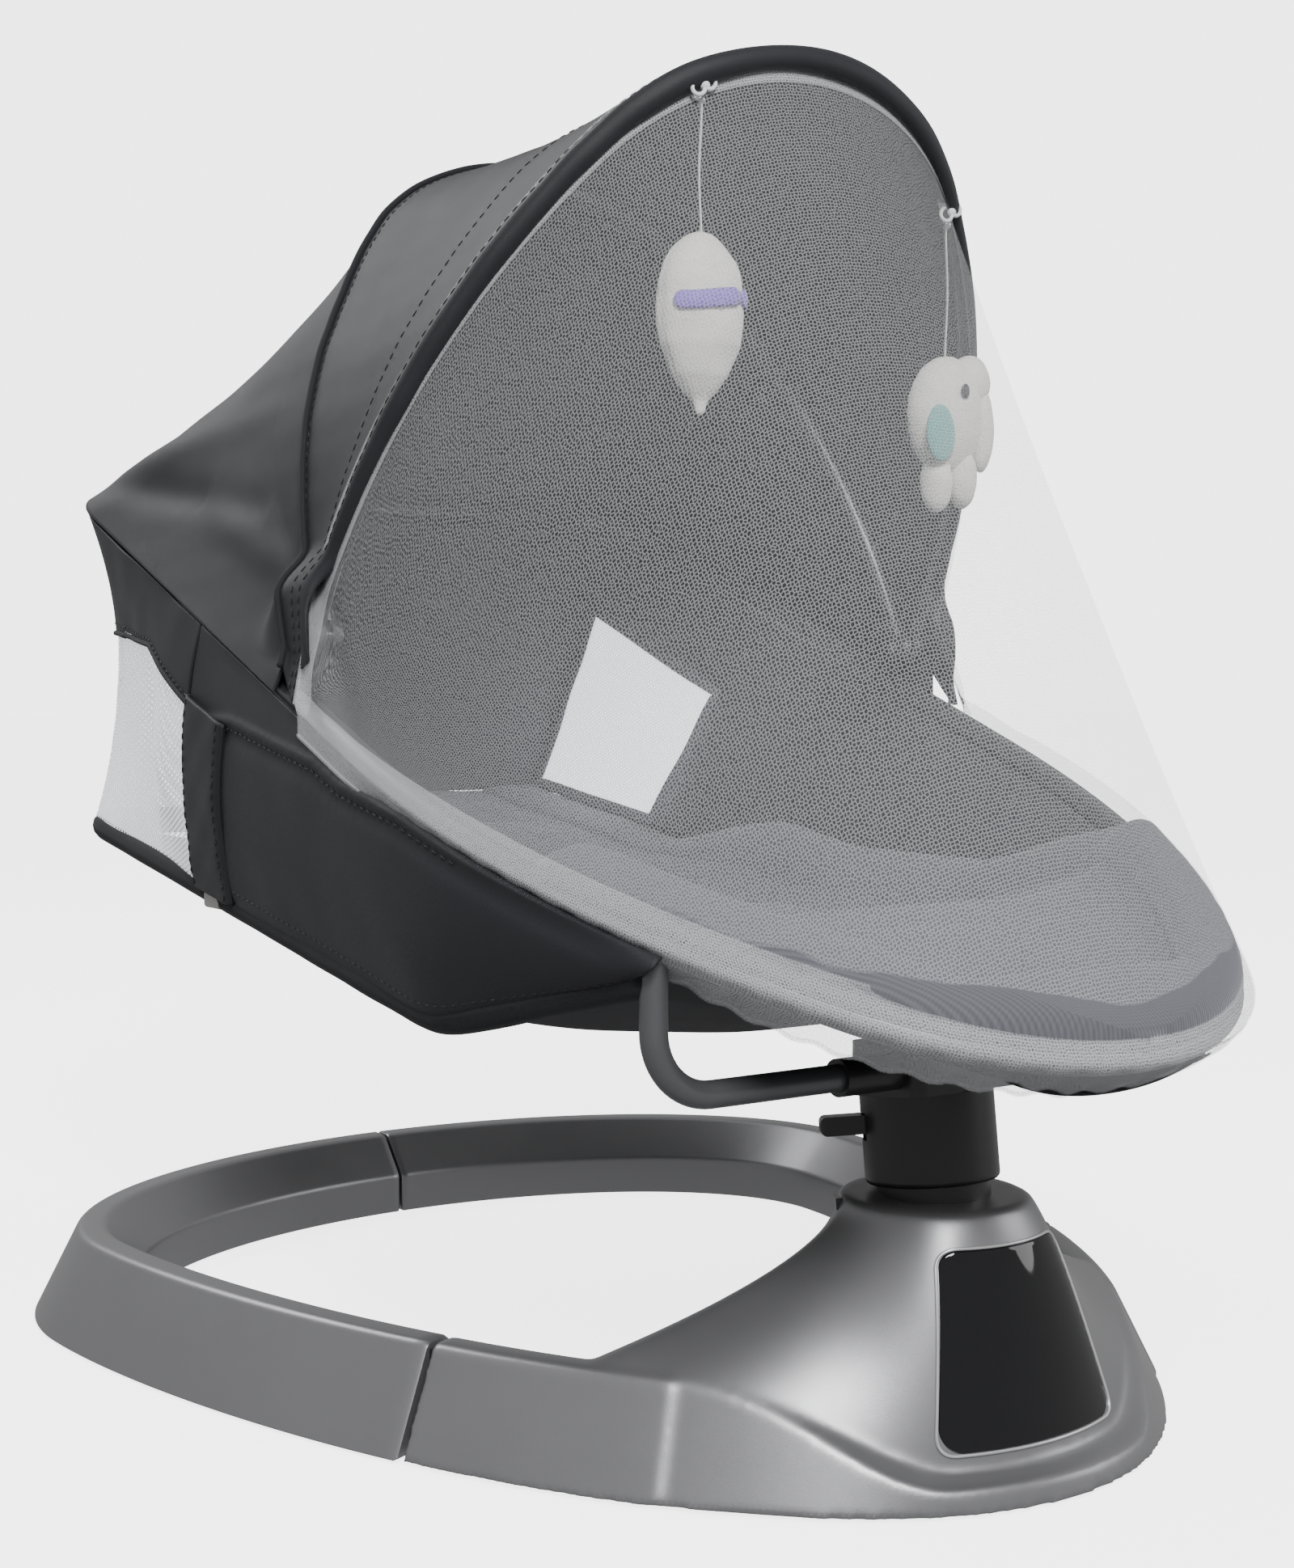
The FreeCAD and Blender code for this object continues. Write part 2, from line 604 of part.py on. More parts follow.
flange = Part.makeCylinder(size("flange_radius"), size("flange_thickness"), Vector(0, 0, size("flange_z")))
collar_length = size("flange_z") + size("flange_thickness") - size("upper_bearing_z")
upper_seat = Part.makeCylinder(seat_outer, collar_length, Vector(0, 0, size("upper_bearing_z"))).fuse(flange)
upper_bearing_spot = Vector(0, 0, size("upper_bearing_z"))
upper_pocket = Part.makeCylinder(size("bearing_radius"), size("bearing_width"), upper_bearing_spot)
upper_clear = Part.makeCylinder(size("shaft_radius") + 1, 200, Vector(0, 0, 0))
feature("upper_bearing_seat", on_axis(upper_seat.cut(upper_pocket).cut(upper_clear)))

PRESSURE_ANGLE = math.radians(25)


def involute(angle):
    return math.tan(angle) - angle


def gear_face(teeth, first_tooth, centre_x):
    """The outline of an involute gear at the gears' height; first_tooth is one tooth's angle."""
    pitch = size("gear_size") * teeth / 2
    base = pitch * math.cos(PRESSURE_ANGLE)
    root = pitch - 1.25 * size("gear_size")
    tip = pitch + 0.95 * size("gear_size")
    half_pitch_tooth = math.pi / (2 * teeth) - size("gear_backlash") / 4 / pitch
    points = []
    for tooth in range(teeth):
        middle = first_tooth + 2 * math.pi * tooth / teeth
        flank = []
        for share in (0, 0.25, 0.5, 0.75, 1):
            radius = max(root, base) + (tip - max(root, base)) * share
            pressure = math.acos(min(1, base / radius))
            half = half_pitch_tooth + involute(PRESSURE_ANGLE) - involute(pressure)
            flank.append((radius, half))
        if root < base:
            flank.insert(0, (root, flank[0][1]))
        for radius, half in flank:
            turn = middle - half
            points.append(Vector(centre_x + radius * math.cos(turn), radius * math.sin(turn), size("gear_z")))
        for radius, half in reversed(flank):
            turn = middle + half
            points.append(Vector(centre_x + radius * math.cos(turn), radius * math.sin(turn), size("gear_z")))
    return Part.Face(Part.makePolygon(points + points[:1]))


gear_spread = size("gear_size") * (size("sector_teeth") + size("pinion_teeth")) / 2
sector = gear_face(int(size("sector_teeth")), 0, 0).extrude(Vector(0, 0, size("gear_width")))
reach = 2 * gear_spread
wedge_half = math.radians(26)
wedge_points = [Vector(0, 0, 0), Vector(reach, -reach * math.tan(wedge_half), 0)]
wedge_points.append(Vector(reach, reach * math.tan(wedge_half), 0))
wedge = Part.Face(Part.makePolygon(wedge_points + wedge_points[:1])).extrude(Vector(0, 0, 200))
hub = Part.makeCylinder(size("shaft_radius") + 6, size("gear_width"), Vector(0, 0, size("gear_z")))
sector = sector.common(wedge).fuse(hub).cut(Part.makeCylinder(size("shaft_radius"), 200))
feature("sector_gear", sector, axis_place)

pinion_turn = math.pi + math.pi / size("pinion_teeth")
pinion_face = gear_face(int(size("pinion_teeth")), pinion_turn, gear_spread)
pinion = pinion_face.extrude(Vector(0, 0, size("gear_width")))
stub_place = Vector(gear_spread, 0, size("gear_z") - 12)
stub = Part.makeCylinder(size("pinion_shaft_radius"), 12 + size("gear_width"), stub_place)
feature("drive_pinion", pinion.fuse(stub), axis_place)

motor_top = size("gear_z") - 2
motor_low = motor_top - size("motor_length")
motor = Part.makeCylinder(size("motor_radius"), size("motor_length"), Vector(gear_spread, 0, motor_low))
motor_bore = size("pinion_shaft_radius") + size("shaft_clearance")
motor = motor.cut(Part.makeCylinder(motor_bore, 20, Vector(gear_spread, 0, motor_top - 11)))
feature("gearmotor", motor, axis_place)
cradle = Part.makeCylinder(size("motor_radius") + 4, motor_low + 32, Vector(gear_spread, 0, -20))
cradle = cradle.cut(Part.makeCylinder(size("motor_radius"), 60, Vector(gear_spread, 0, motor_low)))
cradle = on_axis(cradle).common(above_cover)
feature("motor_cradle", cradle.cut(Part.makeCylinder(size("seat_foot_radius"), 10)))

# ---------------------------------------------------------------- electrics
at_board = FreeCAD.Placement(Vector(size("control_board_x"), size("control_board_y"), 0), FreeCAD.Rotation())
block_body("control_board", "sizes.control_board_length", "sizes.control_board_width",
           "%g + sizes.board_rise" % cover_top,
           "sizes.board_thickness", at_board)
panel_board_turn = FreeCAD.Rotation(Vector(1, 0, 0), 90)
panel_board_spot = Vector(0, size("panel_board_y"), size("panel_board_z"))
panel_board_place = FreeCAD.Placement(panel_board_spot, panel_board_turn)
block_body("panel_board", "sizes.panel_board_width", "sizes.panel_board_height", "0", "sizes.board_thickness",
           panel_board_place)
at_speaker = FreeCAD.Placement(Vector(size("speaker_x"), size("speaker_y"), 0), FreeCAD.Rotation())
round_body("loudspeaker", "sizes.speaker_radius", None, "%g" % cover_top, "sizes.speaker_depth", at_speaker)
inlet = Part.makeCylinder(size("inlet_radius"), size("inlet_length"), inlet_spot, Vector(0, 1, 0))
inlet_mouth = inlet_spot + Vector(0, size("inlet_length"), 0)
inlet_tool = Part.makeCylinder(size("inlet_bore"), size("inlet_bore_depth"), inlet_mouth, Vector(0, -1, 0))
feature("power_inlet", inlet.cut(inlet_tool))

# ---------------------------------------------------------------- rubber feet
feet = [Part.makeCylinder(size("centre_pad_radius"), size("pad_height"))]
foot_inset = size("ring_base_width") / 2
FOOT_ANGLES = (18, 62, 118, 162, 214, 326)
for degrees in FOOT_ANGLES:
    x, y = egg(math.radians(degrees), foot_inset)
    feet.append(Part.makeCylinder(size("pad_radius"), size("pad_height"), Vector(x, y, 0)))
feature("rubber_feet", Part.makeCompound(feet))

# ---------------------------------------------------------------- post and release lever
lever_turn = FreeCAD.Placement(Vector(0, 0, 0), FreeCAD.Rotation(Vector(0, 0, 1), size("lever_angle")))
lever_place = axis_place.multiply(lever_turn)
lever_pivot = size("post_radius") - size("post_wall") - 5
post_height = size("post_top") - size("post_bottom")
post = Part.makeCylinder(size("post_radius"), post_height, Vector(0, 0, size("post_bottom")))
low_edge = [edge for edge in post.Edges if abs(edge.BoundBox.ZMax - size("post_bottom")) < 0.01]
post = post.makeFillet(size("post_edge"), low_edge)
hollow_top = size("post_top") - size("post_wall") - 2
hollow = Part.makeCylinder(size("post_radius") - size("post_wall"), hollow_top - size("post_bottom") - 3,
                           Vector(0, 0, size("post_bottom") + 3))
hub_tube = Part.makeCylinder(size("shaft_radius") + 4, hollow_top - size("post_bottom"),
                             Vector(0, 0, size("post_bottom")))
post = post.cut(hollow).fuse(hub_tube)
post = post.cut(Part.makeCylinder(size("shaft_radius"), shaft_end - 60, Vector(0, 0, 60)))
slot_half = size("lever_width") / 2 + size("lever_clearance")
slot_low = size("lever_z") - size("lever_height") / 2 - size("lever_clearance") - 2.4
slot_high = size("lever_z") + size("lever_height") / 2 + size("lever_clearance")
slot = Part.makeBox(20, 2 * slot_half, slot_high - slot_low, Vector(lever_pivot + 2, -slot_half, slot_low))
lugs = []
for side in (-1, 1):
    lug_y = slot_half if side > 0 else -slot_half - 4
    lugs.append(Part.makeBox(size("post_radius") - size("post_wall") - lever_pivot + 4.5, 4, 9,
                             Vector(lever_pivot - 4, lug_y, size("lever_z") - 4.5)))
pin_length = 2 * slot_half + 8
lever_pin = Part.makeCylinder(size("lever_pin_radius"), pin_length,
                              Vector(lever_pivot, -pin_length / 2, size("lever_z")), Vector(0, 1, 0))
post_turned = post.copy()
post_turned.rotate(Vector(0, 0, 0), Vector(0, 0, 1), -size("lever_angle"))
post_turned = post_turned.fuse(lugs[0]).fuse(lugs[1]).cut(slot).cut(lever_pin)
feature("post_sleeve", post_turned, lever_place)
feature("lever_pin", lever_pin, lever_place)

lever_start = lever_pivot - 4.5
lever_length = size("post_radius") + size("lever_reach") - lever_start
lever_low = size("lever_z") - size("lever_height") / 2
lever = Part.makeBox(lever_length, size("lever_width"), size("lever_height"),
                     Vector(lever_start, -size("lever_width") / 2, lever_low))
outer_edges = [e for e in lever.Edges if e.BoundBox.XMin > lever_start + lever_length - 0.1]
lever = lever.makeFillet(3, outer_edges)
lever_bore = Part.makeCylinder(size("lever_pin_radius") + size("shaft_clearance"), 60,
                               Vector(lever_pivot, -30, size("lever_z")), Vector(0, 1, 0))
feature("release_lever", lever.cut(lever_bore), lever_place)


# ---------------------------------------------------------------- tubes
def rounded_path(points, radius):
    """Straight runs joined by tangent arcs."""
    edges = []
    last = points[0]
    for before, corner, after in zip(points, points[1:], points[2:]):
        back = (before - corner).normalize()
        forth = (after - corner).normalize()
        half_angle = back.getAngle(forth) / 2
        shorter = min((before - corner).Length, (after - corner).Length)
        cut = min(radius / math.tan(half_angle), 0.45 * shorter)
        start = corner + back * cut
        end = corner + forth * cut
        bisector = (back + forth).normalize()
        arc_radius = cut * math.tan(half_angle)
        centre = corner + bisector * (arc_radius / math.sin(half_angle))
        middle = centre - bisector * arc_radius
        edges.append(Part.LineSegment(last, start).toShape())
        edges.append(Part.Arc(start, middle, end).toShape())
        last = end
    edges.append(Part.LineSegment(last, points[-1]).toShape())
    return Part.Wire(edges)


def pipe(path, radius):
    """A round bar along a path, its section square to the path's start."""
    first = path.OrderedEdges[0]
    forward = first.Orientation == "Forward"
    start = first.valueAt(first.FirstParameter if forward else first.LastParameter)
    tangent = first.tangentAt(first.FirstParameter)
    section = Part.Wire([Part.Circle(start, tangent, radius).toShape()])
    return path.makePipeShell([section], True, False)


def arch_edges(half, length, tip_radius, tip_angle, start):
    """An arch in its own plane, from (-half, start) over (0, length) to (half, start): a tip arc between
    two side arcs, each tangent to a straight leg."""
    turn = math.radians(tip_angle)
    side_radius = (half - tip_radius * math.sin(turn)) / (1 - math.sin(turn))
    spring = length - tip_radius - (side_radius - tip_radius) * math.cos(turn)
    centre = Vector(side_radius - half, spring, 0)
    middle_turn = (turn + math.pi / 2) / 2
    left_middle = centre + Vector(-math.sin(middle_turn), math.cos(middle_turn), 0) * side_radius
    left_end = Vector(-tip_radius * math.sin(turn), length - tip_radius + tip_radius * math.cos(turn), 0)
    spring_point = Vector(-half, spring, 0)
    low_point = Vector(-half, start, 0)
    if start > spring:
        share = (start - spring) / side_radius
        angle = math.asin(share)
        spring_point = centre + Vector(-math.cos(angle), share, 0) * side_radius
        middle_turn = (turn + math.pi / 2 - angle) / 2
        left_middle = centre + Vector(-math.sin(middle_turn), math.cos(middle_turn), 0) * side_radius

    def mirror(point):
        return Vector(-point.x, point.y, point.z)

    edges = []
    if start < spring:
        edges.append(Part.LineSegment(low_point, spring_point).toShape())
    edges.append(Part.Arc(spring_point, left_middle, left_end).toShape())
    edges.append(Part.Arc(left_end, Vector(0, length, 0), mirror(left_end)).toShape())
    edges.append(Part.Arc(mirror(left_end), mirror(left_middle), mirror(spring_point)).toShape())
    if start < spring:
        edges.append(Part.LineSegment(mirror(spring_point), mirror(low_point)).toShape())
    return edges


slope = math.radians(size("rim_slope"))
rim_up = Vector(0, math.cos(slope), math.sin(slope))
foot_length = size("rim_length") - size("rim_corner")
head_line = Vector(0, size("rim_foot_y"), size("rim_foot_z")) + rim_up * foot_length
rim_frame = FreeCAD.Placement(head_line, FreeCAD.Rotation(Vector(1, 0, 0), -rim_up, Vector(0, 0, 0), "XYZ"))


def rim_height(y):
    """Height of the rim's plane above the floor at one y."""
    return size("rim_foot_z") + (y - size("rim_foot_y")) * math.tan(slope)


def rim_foot_edges(grow, start):
    """The rim's sides and foot end, grown outwards; start is measured from the head corners."""
    return arch_edges(size("rim_half") + grow, foot_length + grow, size("rim_tip_radius") + grow,
                      size("rim_tip_angle"), start)


def rim_head_edges(grow, start):
    """The rim's head end, grown outwards, with legs that reach start down the sides."""
    half = size("rim_half") + grow
    corner = size("rim_corner") + grow
    bend = corner * math.sqrt(0.5)
    points = [Vector(-half, start, 0), Vector(-half, 0, 0), Vector(-half + corner - bend, -bend, 0)]
    points.append(Vector(-half + corner, -corner, 0))
    right = [Vector(-point.x, point.y, 0) for point in reversed(points)]
    edges = []
    if start > 0:
        edges.append(Part.LineSegment(points[0], points[1]).toShape())
    edges.append(Part.Arc(points[1], points[2], points[3]).toShape())
    edges.append(Part.LineSegment(points[3], right[0]).toShape())
    edges.append(Part.Arc(right[0], right[1], right[2]).toShape())
    if start > 0:
        edges.append(Part.LineSegment(right[2], right[3]).toShape())
    return edges


def placed_wire(edges, place):
    wire = Part.Wire(edges)
    wire.Placement = place
    return wire


foot_tube = pipe(placed_wire(rim_foot_edges(0, 0), rim_frame), size("rim_radius"))
head_tube = pipe(placed_wire(rim_head_edges(0, 0), rim_frame), size("rim_radius"))
rim = foot_tube.fuse(head_tube).removeSplitter()
feature("seat_rim_tube", rim)

leg_top = rim_height(size("bracket_y"))
bracket_points = [Vector(-size("bracket_half"), size("bracket_y"), leg_top)]
bracket_points.append(Vector(-size("bracket_half"), size("bracket_y"), size("bracket_z")))
bracket_points += [Vector(-point.x, point.y, point.z) for point in reversed(bracket_points)]
bracket_solid = pipe(rounded_path(bracket_points, size("bracket_bend")), size("bracket_radius"))
feature("bracket_tube", bracket_solid.cut(rim))

coupling_tubes = []
for side in (-1, 1):
    inner_end = side * size("mount_width") / 2
    start = Vector(inner_end, size("bracket_y"), size("bracket_z"))
    along = Vector(side, 0, 0)
    sleeve = Part.makeCylinder(size("coupling_radius"), size("coupling_length"), start, along)
    coupling_tubes.append(sleeve.cut(Part.makeCylinder(size("bracket_radius"), 200, start, along)))
feature("bracket_sleeves", Part.makeCompound(coupling_tubes))

mount_y = size("post_top") * math.sin(math.radians(size("lean"))) - 6
mount_low = size("post_top") * math.cos(math.radians(size("lean"))) - 8
mount = Part.makeBox(size("mount_width"), size("mount_depth"), size("mount_height") + 8,
                     Vector(-size("mount_width") / 2, mount_y - size("mount_depth") / 2, mount_low))
mount = mount.makeFillet(6, [e for e in mount.Edges if abs(e.tangentAt(e.FirstParameter).z) > 0.9])
above_post = on_axis(Part.makeBox(300, 300, 100, Vector(-150, -150, size("post_top"))))
feature("seat_mount_block", mount.common(above_post).cut(bracket_solid))

lower_left = [Vector(-size("bracket_half"), size("bracket_y"), size("lower_front_z"))]
lower_left.append(Vector(-size("lower_half") + 2, size("lower_dip_y"), size("lower_dip_z")))
lower_left.append(Vector(-size("lower_half"), size("lower_clip_y"), size("lower_clip_z")))
lower_left.append(Vector(-size("lower_half"), size("lower_rear_y"), size("lower_rear_z")))
lower_points = lower_left + [Vector(-point.x, point.y, point.z) for point in reversed(lower_left)]
lower_path = rounded_path(lower_points, size("lower_bend"))
lower_solid = pipe(lower_path, size("lower_radius"))
feature("lower_tube", lower_solid.cut(bracket_solid))

CLIP_ROUNDING = 2.5
clips = []
clip_outer = size("lower_radius") + size("clip_wall")
for side in (-1, 1):
    corner = Vector(side * size("lower_half") - clip_outer, size("lower_clip_y") - size("clip_size") / 2,
                    size("lower_clip_z") - clip_outer)
    clip = Part.makeBox(2 * clip_outer, size("clip_size"), 2 * clip_outer, corner)
    long_edges = [edge for edge in clip.Edges if abs(edge.tangentAt(0).y) > 0.9]
    clips.append(clip.makeFillet(CLIP_ROUNDING, long_edges).cut(lower_solid))
feature("frame_clips", Part.makeCompound(clips))

# ---------------------------------------------------------------- canopy frame
hub_plates = []
pins = []
hub_x = size("pivot_half") + size("hoop_radius") - size("hub_offset")
for side in (-1, 1):
    hub_centre = Vector(side * hub_x, size("pivot_y"), size("pivot_z"))
    out = Vector(side, 0, 0)
    plate = Part.makeCylinder(size("hub_radius"), size("hub_width"), hub_centre, out)
    stem_low = rim_height(size("pivot_y"))
    stem_x = hub_centre.x if side > 0 else hub_centre.x - size("hub_width")
    stem = Part.makeBox(size("hub_width"), 16, size("pivot_z") - stem_low,
                        Vector(stem_x, size("pivot_y") - 8, stem_low))
    hub_plates.append(plate.fuse(stem).removeSplitter().cut(rim))
    pin_x = size("pivot_half") - size("mid_hoop_inset") - 8
    pin_start = Vector(side * pin_x, size("pivot_y"), size("pivot_z"))
    pins.append(Part.makeCylinder(size("pin_radius"), hub_x - abs(pin_start.x), pin_start, out))
feature("canopy_hubs", Part.makeCompound(hub_plates))
feature("canopy_pins", Part.makeCompound(pins))


def hoop_frame(lean):
    """The plane of a hoop that leans by lean degrees: backwards when positive."""
    turn = math.radians(lean)
    up = Vector(0, math.sin(turn), math.cos(turn))
    base = Vector(0, size("pivot_y"), size("pivot_z"))
    return FreeCAD.Placement(base, FreeCAD.Rotation(Vector(1, 0, 0), up, Vector(0, 0, 0), "XYZ"))


HOOP_TIP_RADIUS = 140
HOOP_TIP_ANGLE = 52


def hoop(label, half, length, lean):
    """A bent hoop with a flat eye at each end that turns on the canopy pin."""
    path = placed_wire(arch_edges(half, length, HOOP_TIP_RADIUS, HOOP_TIP_ANGLE, 0), hoop_frame(lean))
    shape = pipe(path, size("hoop_radius"))
    eye_width = 2 * size("hoop_radius") - 3
    for side in (-1, 1):
        centre = Vector(side * half - eye_width / 2, size("pivot_y"), size("pivot_z"))
        shape = shape.fuse(Part.makeCylinder(8, eye_width, centre, Vector(1, 0, 0)))
    bore = size("pin_radius") + size("pin_clearance")
    bore_start = Vector(-300, size("pivot_y"), size("pivot_z"))
    bored = shape.cut(Part.makeCylinder(bore, 600, bore_start, Vector(1, 0, 0)))
    feature(label, bored)
    return bored


front_half = size("pivot_half") - 2.5
mid_half = front_half - size("mid_hoop_inset")
front_hoop_shape = hoop("front_hoop", front_half, size("front_hoop_length"), -size("front_hoop_lean"))
hoop("mid_hoop", mid_half, size("mid_hoop_length"), size("mid_hoop_lean"))


# ---------------------------------------------------------------- soft parts
def triangle(a, b, c):
    return Part.Face(Part.makePolygon([a, b, c, a]))


def sheet_solid(rows, shift):
    """A thin closed solid over a grid of points; shift gives each point's partner on the other side."""
    partners = [[shift(point) for point in row] for row in rows]
    last_row = len(rows) - 1
    last_column = len(rows[0]) - 1
    faces = []
    for grid in (rows, partners):
        for i in range(last_row):
            for j in range(last_column):
                a, b, c, d = grid[i][j], grid[i + 1][j], grid[i + 1][j + 1], grid[i][j + 1]
                faces += [triangle(a, b, c), triangle(a, c, d)]
    border = [(0, j) for j in range(last_column)] + [(i, last_column) for i in range(last_row)]
    border += [(last_row, j) for j in range(last_column, 0, -1)] + [(i, 0) for i in range(last_row, 0, -1)]
    for (i, j), (k, l) in zip(border, border[1:] + border[:1]):
        faces += [triangle(rows[i][j], rows[k][l], partners[k][l])]
        faces += [triangle(rows[i][j], partners[k][l], partners[i][j])]
    return solid_of(faces)


HEART = Vector(0, 250, 380)


def inwards(point):
    return point + (HEART - point).normalize() * size("fabric")


def row_on(edges, place, count, lift=0):
    """Evenly spaced points along edges that lie in a placed plane, lifted along Z."""
    return [point + Vector(0, 0, lift) for point in placed_wire(edges, place).discretize(Number=count)]


CANOPY_COLUMNS = 45
CANOPY_START = 22
CANOPY_LIFT = 6
cover_grow = size("hoop_radius") + size("fabric_gap")
pivot_station = foot_length - (size("pivot_y") - size("rim_foot_y")) / math.cos(slope)


def hoop_row(half, length, lean, grow):
    edges = arch_edges(half + grow, length + grow, HOOP_TIP_RADIUS + grow, HOOP_TIP_ANGLE, CANOPY_START)
    return row_on(edges, hoop_frame(lean), CANOPY_COLUMNS)


side_grow = size("rim_radius") + size("fabric_gap")
front_row = hoop_row(front_half, size("front_hoop_length"), -size("front_hoop_lean"), cover_grow)
mid_row = hoop_row(mid_half, size("mid_hoop_length"), size("mid_hoop_lean"), cover_grow)
head_edges = rim_head_edges(side_grow, pivot_station - 24)
head_row = row_on(head_edges, rim_frame, CANOPY_COLUMNS, CANOPY_LIFT)
feature("canopy_fabric", sheet_solid([front_row, mid_row, head_row], inwards))

NET_FORWARD = 2.2
net_lean = -size("front_hoop_lean") - NET_FORWARD
net_front = hoop_row(front_half, size("front_hoop_length"), net_lean, cover_grow + 6)
net_edges = rim_foot_edges(size("rim_radius") + 5, pivot_station + 14)
net_rim = row_on(net_edges, rim_frame, CANOPY_COLUMNS, 3)
net_hem = []
for point in net_rim:
    net_hem.append(point - Vector(0, 0, 7 + 15 * smooth(-point.y, -40, 60)))
feature("mosquito_net", sheet_solid([net_front, net_rim, net_hem], inwards))


def rim_band_row(grow, start_y, count, lift):
    """Evenly spaced points round the rim's sides and head, starting and ending at start_y."""
    foot = placed_wire(rim_foot_edges(grow, 0), rim_frame).discretize(Number=240)
    head = placed_wire(rim_head_edges(grow, 0), rim_frame).discretize(Number=80)
    left = [point for point in foot[:120] if point.y > start_y]
    right = [point for point in foot[120:] if point.y > start_y]
    band = Part.makePolygon(list(reversed(left)) + head[1:-1] + list(reversed(right)))
    return [point + Vector(0, 0, lift) for point in band.discretize(Number=count)]


WALL_COLUMNS = 37
SIDE_COLUMNS = 13
SHELL_GROW = 10
top_row = rim_band_row(side_grow, size("shell_start_y"), WALL_COLUMNS, -8)
grown = []
for point in lower_points:
    rear_grow = SHELL_GROW if point.y > size("lower_clip_y") + 1 else 0
    outwards = Vector(math.copysign(SHELL_GROW, point.x), rear_grow, 0)
    grown.append(point + outwards)
shell_front_x = top_row[0].x + 4
grown[0] = Vector(shell_front_x, size("shell_start_y") + 8, size("lower_front_z") - 10)
grown[-1] = Vector(-grown[0].x, grown[0].y, grown[0].z)
low_row = rounded_path(grown, size("lower_bend")).discretize(Number=WALL_COLUMNS)
SPLIT = 0.5
split_row = [low + (top - low) * SPLIT for low, top in zip(low_row, top_row)]


def part_of(row, start, end):
    return row[start:end + 1]


rear_start = SIDE_COLUMNS
rear_end = WALL_COLUMNS - 1 - SIDE_COLUMNS
side_shells = (("left_side_shell", 0, rear_start), ("right_side_shell", rear_end, WALL_COLUMNS - 1))
for label, start, end in side_shells:
    feature(label, sheet_solid([part_of(top_row, start, end), part_of(low_row, start, end)], inwards))
rear_rows = [part_of(top_row, rear_start, rear_end), part_of(split_row, rear_start, rear_end)]
feature("rear_shell_band", sheet_solid(rear_rows, inwards))
mesh_rows = [part_of(split_row, rear_start, rear_end), part_of(low_row, rear_start, rear_end)]
feature("rear_mesh", sheet_solid(mesh_rows, inwards))

PAD_STATIONS = [(-92, 219, 60), (-50, 240, 108), (0, 252, 146), (40, 253, 150), (90, 236, 132),
                (130, 221, 121), (200, 226, 118), (300, 243, 118), (420, 268, 118), (510, 283, 116), (556, 291, 108)]


def pad_height_at(y):
    """Height of the pad's upper face, by straight lines between its stations."""
    y = min(max(y, PAD_STATIONS[0][0]), PAD_STATIONS[-1][0])
    for (y0, z0, _), (y1, z1, _) in zip(PAD_STATIONS, PAD_STATIONS[1:]):
        if y <= y1:
            return z0 + (z1 - z0) * (y - y0) / (y1 - y0)


def down(distance):
    return lambda point: point - Vector(0, 0, distance)


pad_rows = [[Vector(share * half, y, z) for share in (-1, -0.5, 0, 0.5, 1)] for y, z, half in PAD_STATIONS]
feature("seat_pad", sheet_solid(pad_rows, down(size("seat_pad_thickness"))))

lining_top = rim_band_row(-side_grow, size("lining_start_y"), WALL_COLUMNS, -4)
lining_low = []
for point in lining_top:
    y = min(point.y - size("lining_lean"), size("lining_rear_y"))
    x = min(max(point.x, -size("lining_half")), size("lining_half"))
    lining_low.append(Vector(x, y, pad_height_at(y) + 1))
feature("seat_lining", sheet_solid([lining_top, lining_low], inwards))


def lower_height(y):
    """Height of the lower tube at one y, without its bends."""
    for before, after in zip(lower_left, lower_left[1:]):
        if y <= after.y:
            return before.z + (after.z - before.z) * (y - before.y) / (after.y - before.y)
    return lower_left[-1].z


SLING_BELOW_RIM = 20
SLING_BESIDE_TUBE = 12
sling_rows = []
corner_y = size("lower_rear_y") - size("lower_bend")
sling_stations = [-96, -60, -20, 10, 40, 80, size("lower_dip_y"), 200, 300, size("lower_clip_y")]
sling_stations += [corner_y - 48, corner_y - 3, corner_y + 17, corner_y + 32, corner_y + 42]
for y in sling_stations:
    if y < 20:
        v = (y - size("rim_foot_y")) / math.cos(slope)
        tip = size("rim_tip_radius")
        edge_x = math.sqrt(max(0, tip ** 2 - (tip - v) ** 2)) if v < 54 else 92 + 0.52 * v
        edge_x = edge_x - size("rim_radius") - 3
        edge_z = rim_height(y) - SLING_BELOW_RIM
        sag = 12
    else:
        edge_x = size("lower_half") - SLING_BESIDE_TUBE - 0.28 * max(0, size("lower_dip_y") - y)
        if y > corner_y:
            edge_x -= size("lower_bend") - math.sqrt(size("lower_bend") ** 2 - (y - corner_y) ** 2)
            edge_x -= (y - corner_y) * 0.3
        edge_z = lower_height(y)
        sag = size("sling_sag")
    sling_rows.append([Vector(-edge_x, y, edge_z), Vector(0, y, edge_z - sag), Vector(edge_x, y, edge_z)])
feature("seat_sling", sheet_solid(sling_rows, down(size("fabric"))))

crotch = doc.addObject("Part::Ellipsoid", "crotch_pad")
crotch.Label = "crotch_pad"
crotch.setExpression("Radius1", "sizes.crotch_pad_height / 2")
crotch.setExpression("Radius2", "sizes.crotch_pad_width / 2")
crotch.setExpression("Radius3", "sizes.crotch_pad_length / 2")
crotch_z = pad_height_at(size("crotch_pad_y")) + size("crotch_pad_height") / 2 + 0.8
crotch.Placement = FreeCAD.Placement(Vector(0, size("crotch_pad_y"), crotch_z), FreeCAD.Rotation())
keep(crotch)

# ---------------------------------------------------------------- toys
HOOK_DROP = 12.5
TIE_WALL = 0.6
TIE_LENGTH = 4
ties = []
tie_path = Part.Wire(arch_edges(front_half, size("front_hoop_length"), HOOP_TIP_RADIUS, HOOP_TIP_ANGLE, 0))
front_frame = hoop_frame(-size("front_hoop_lean"))


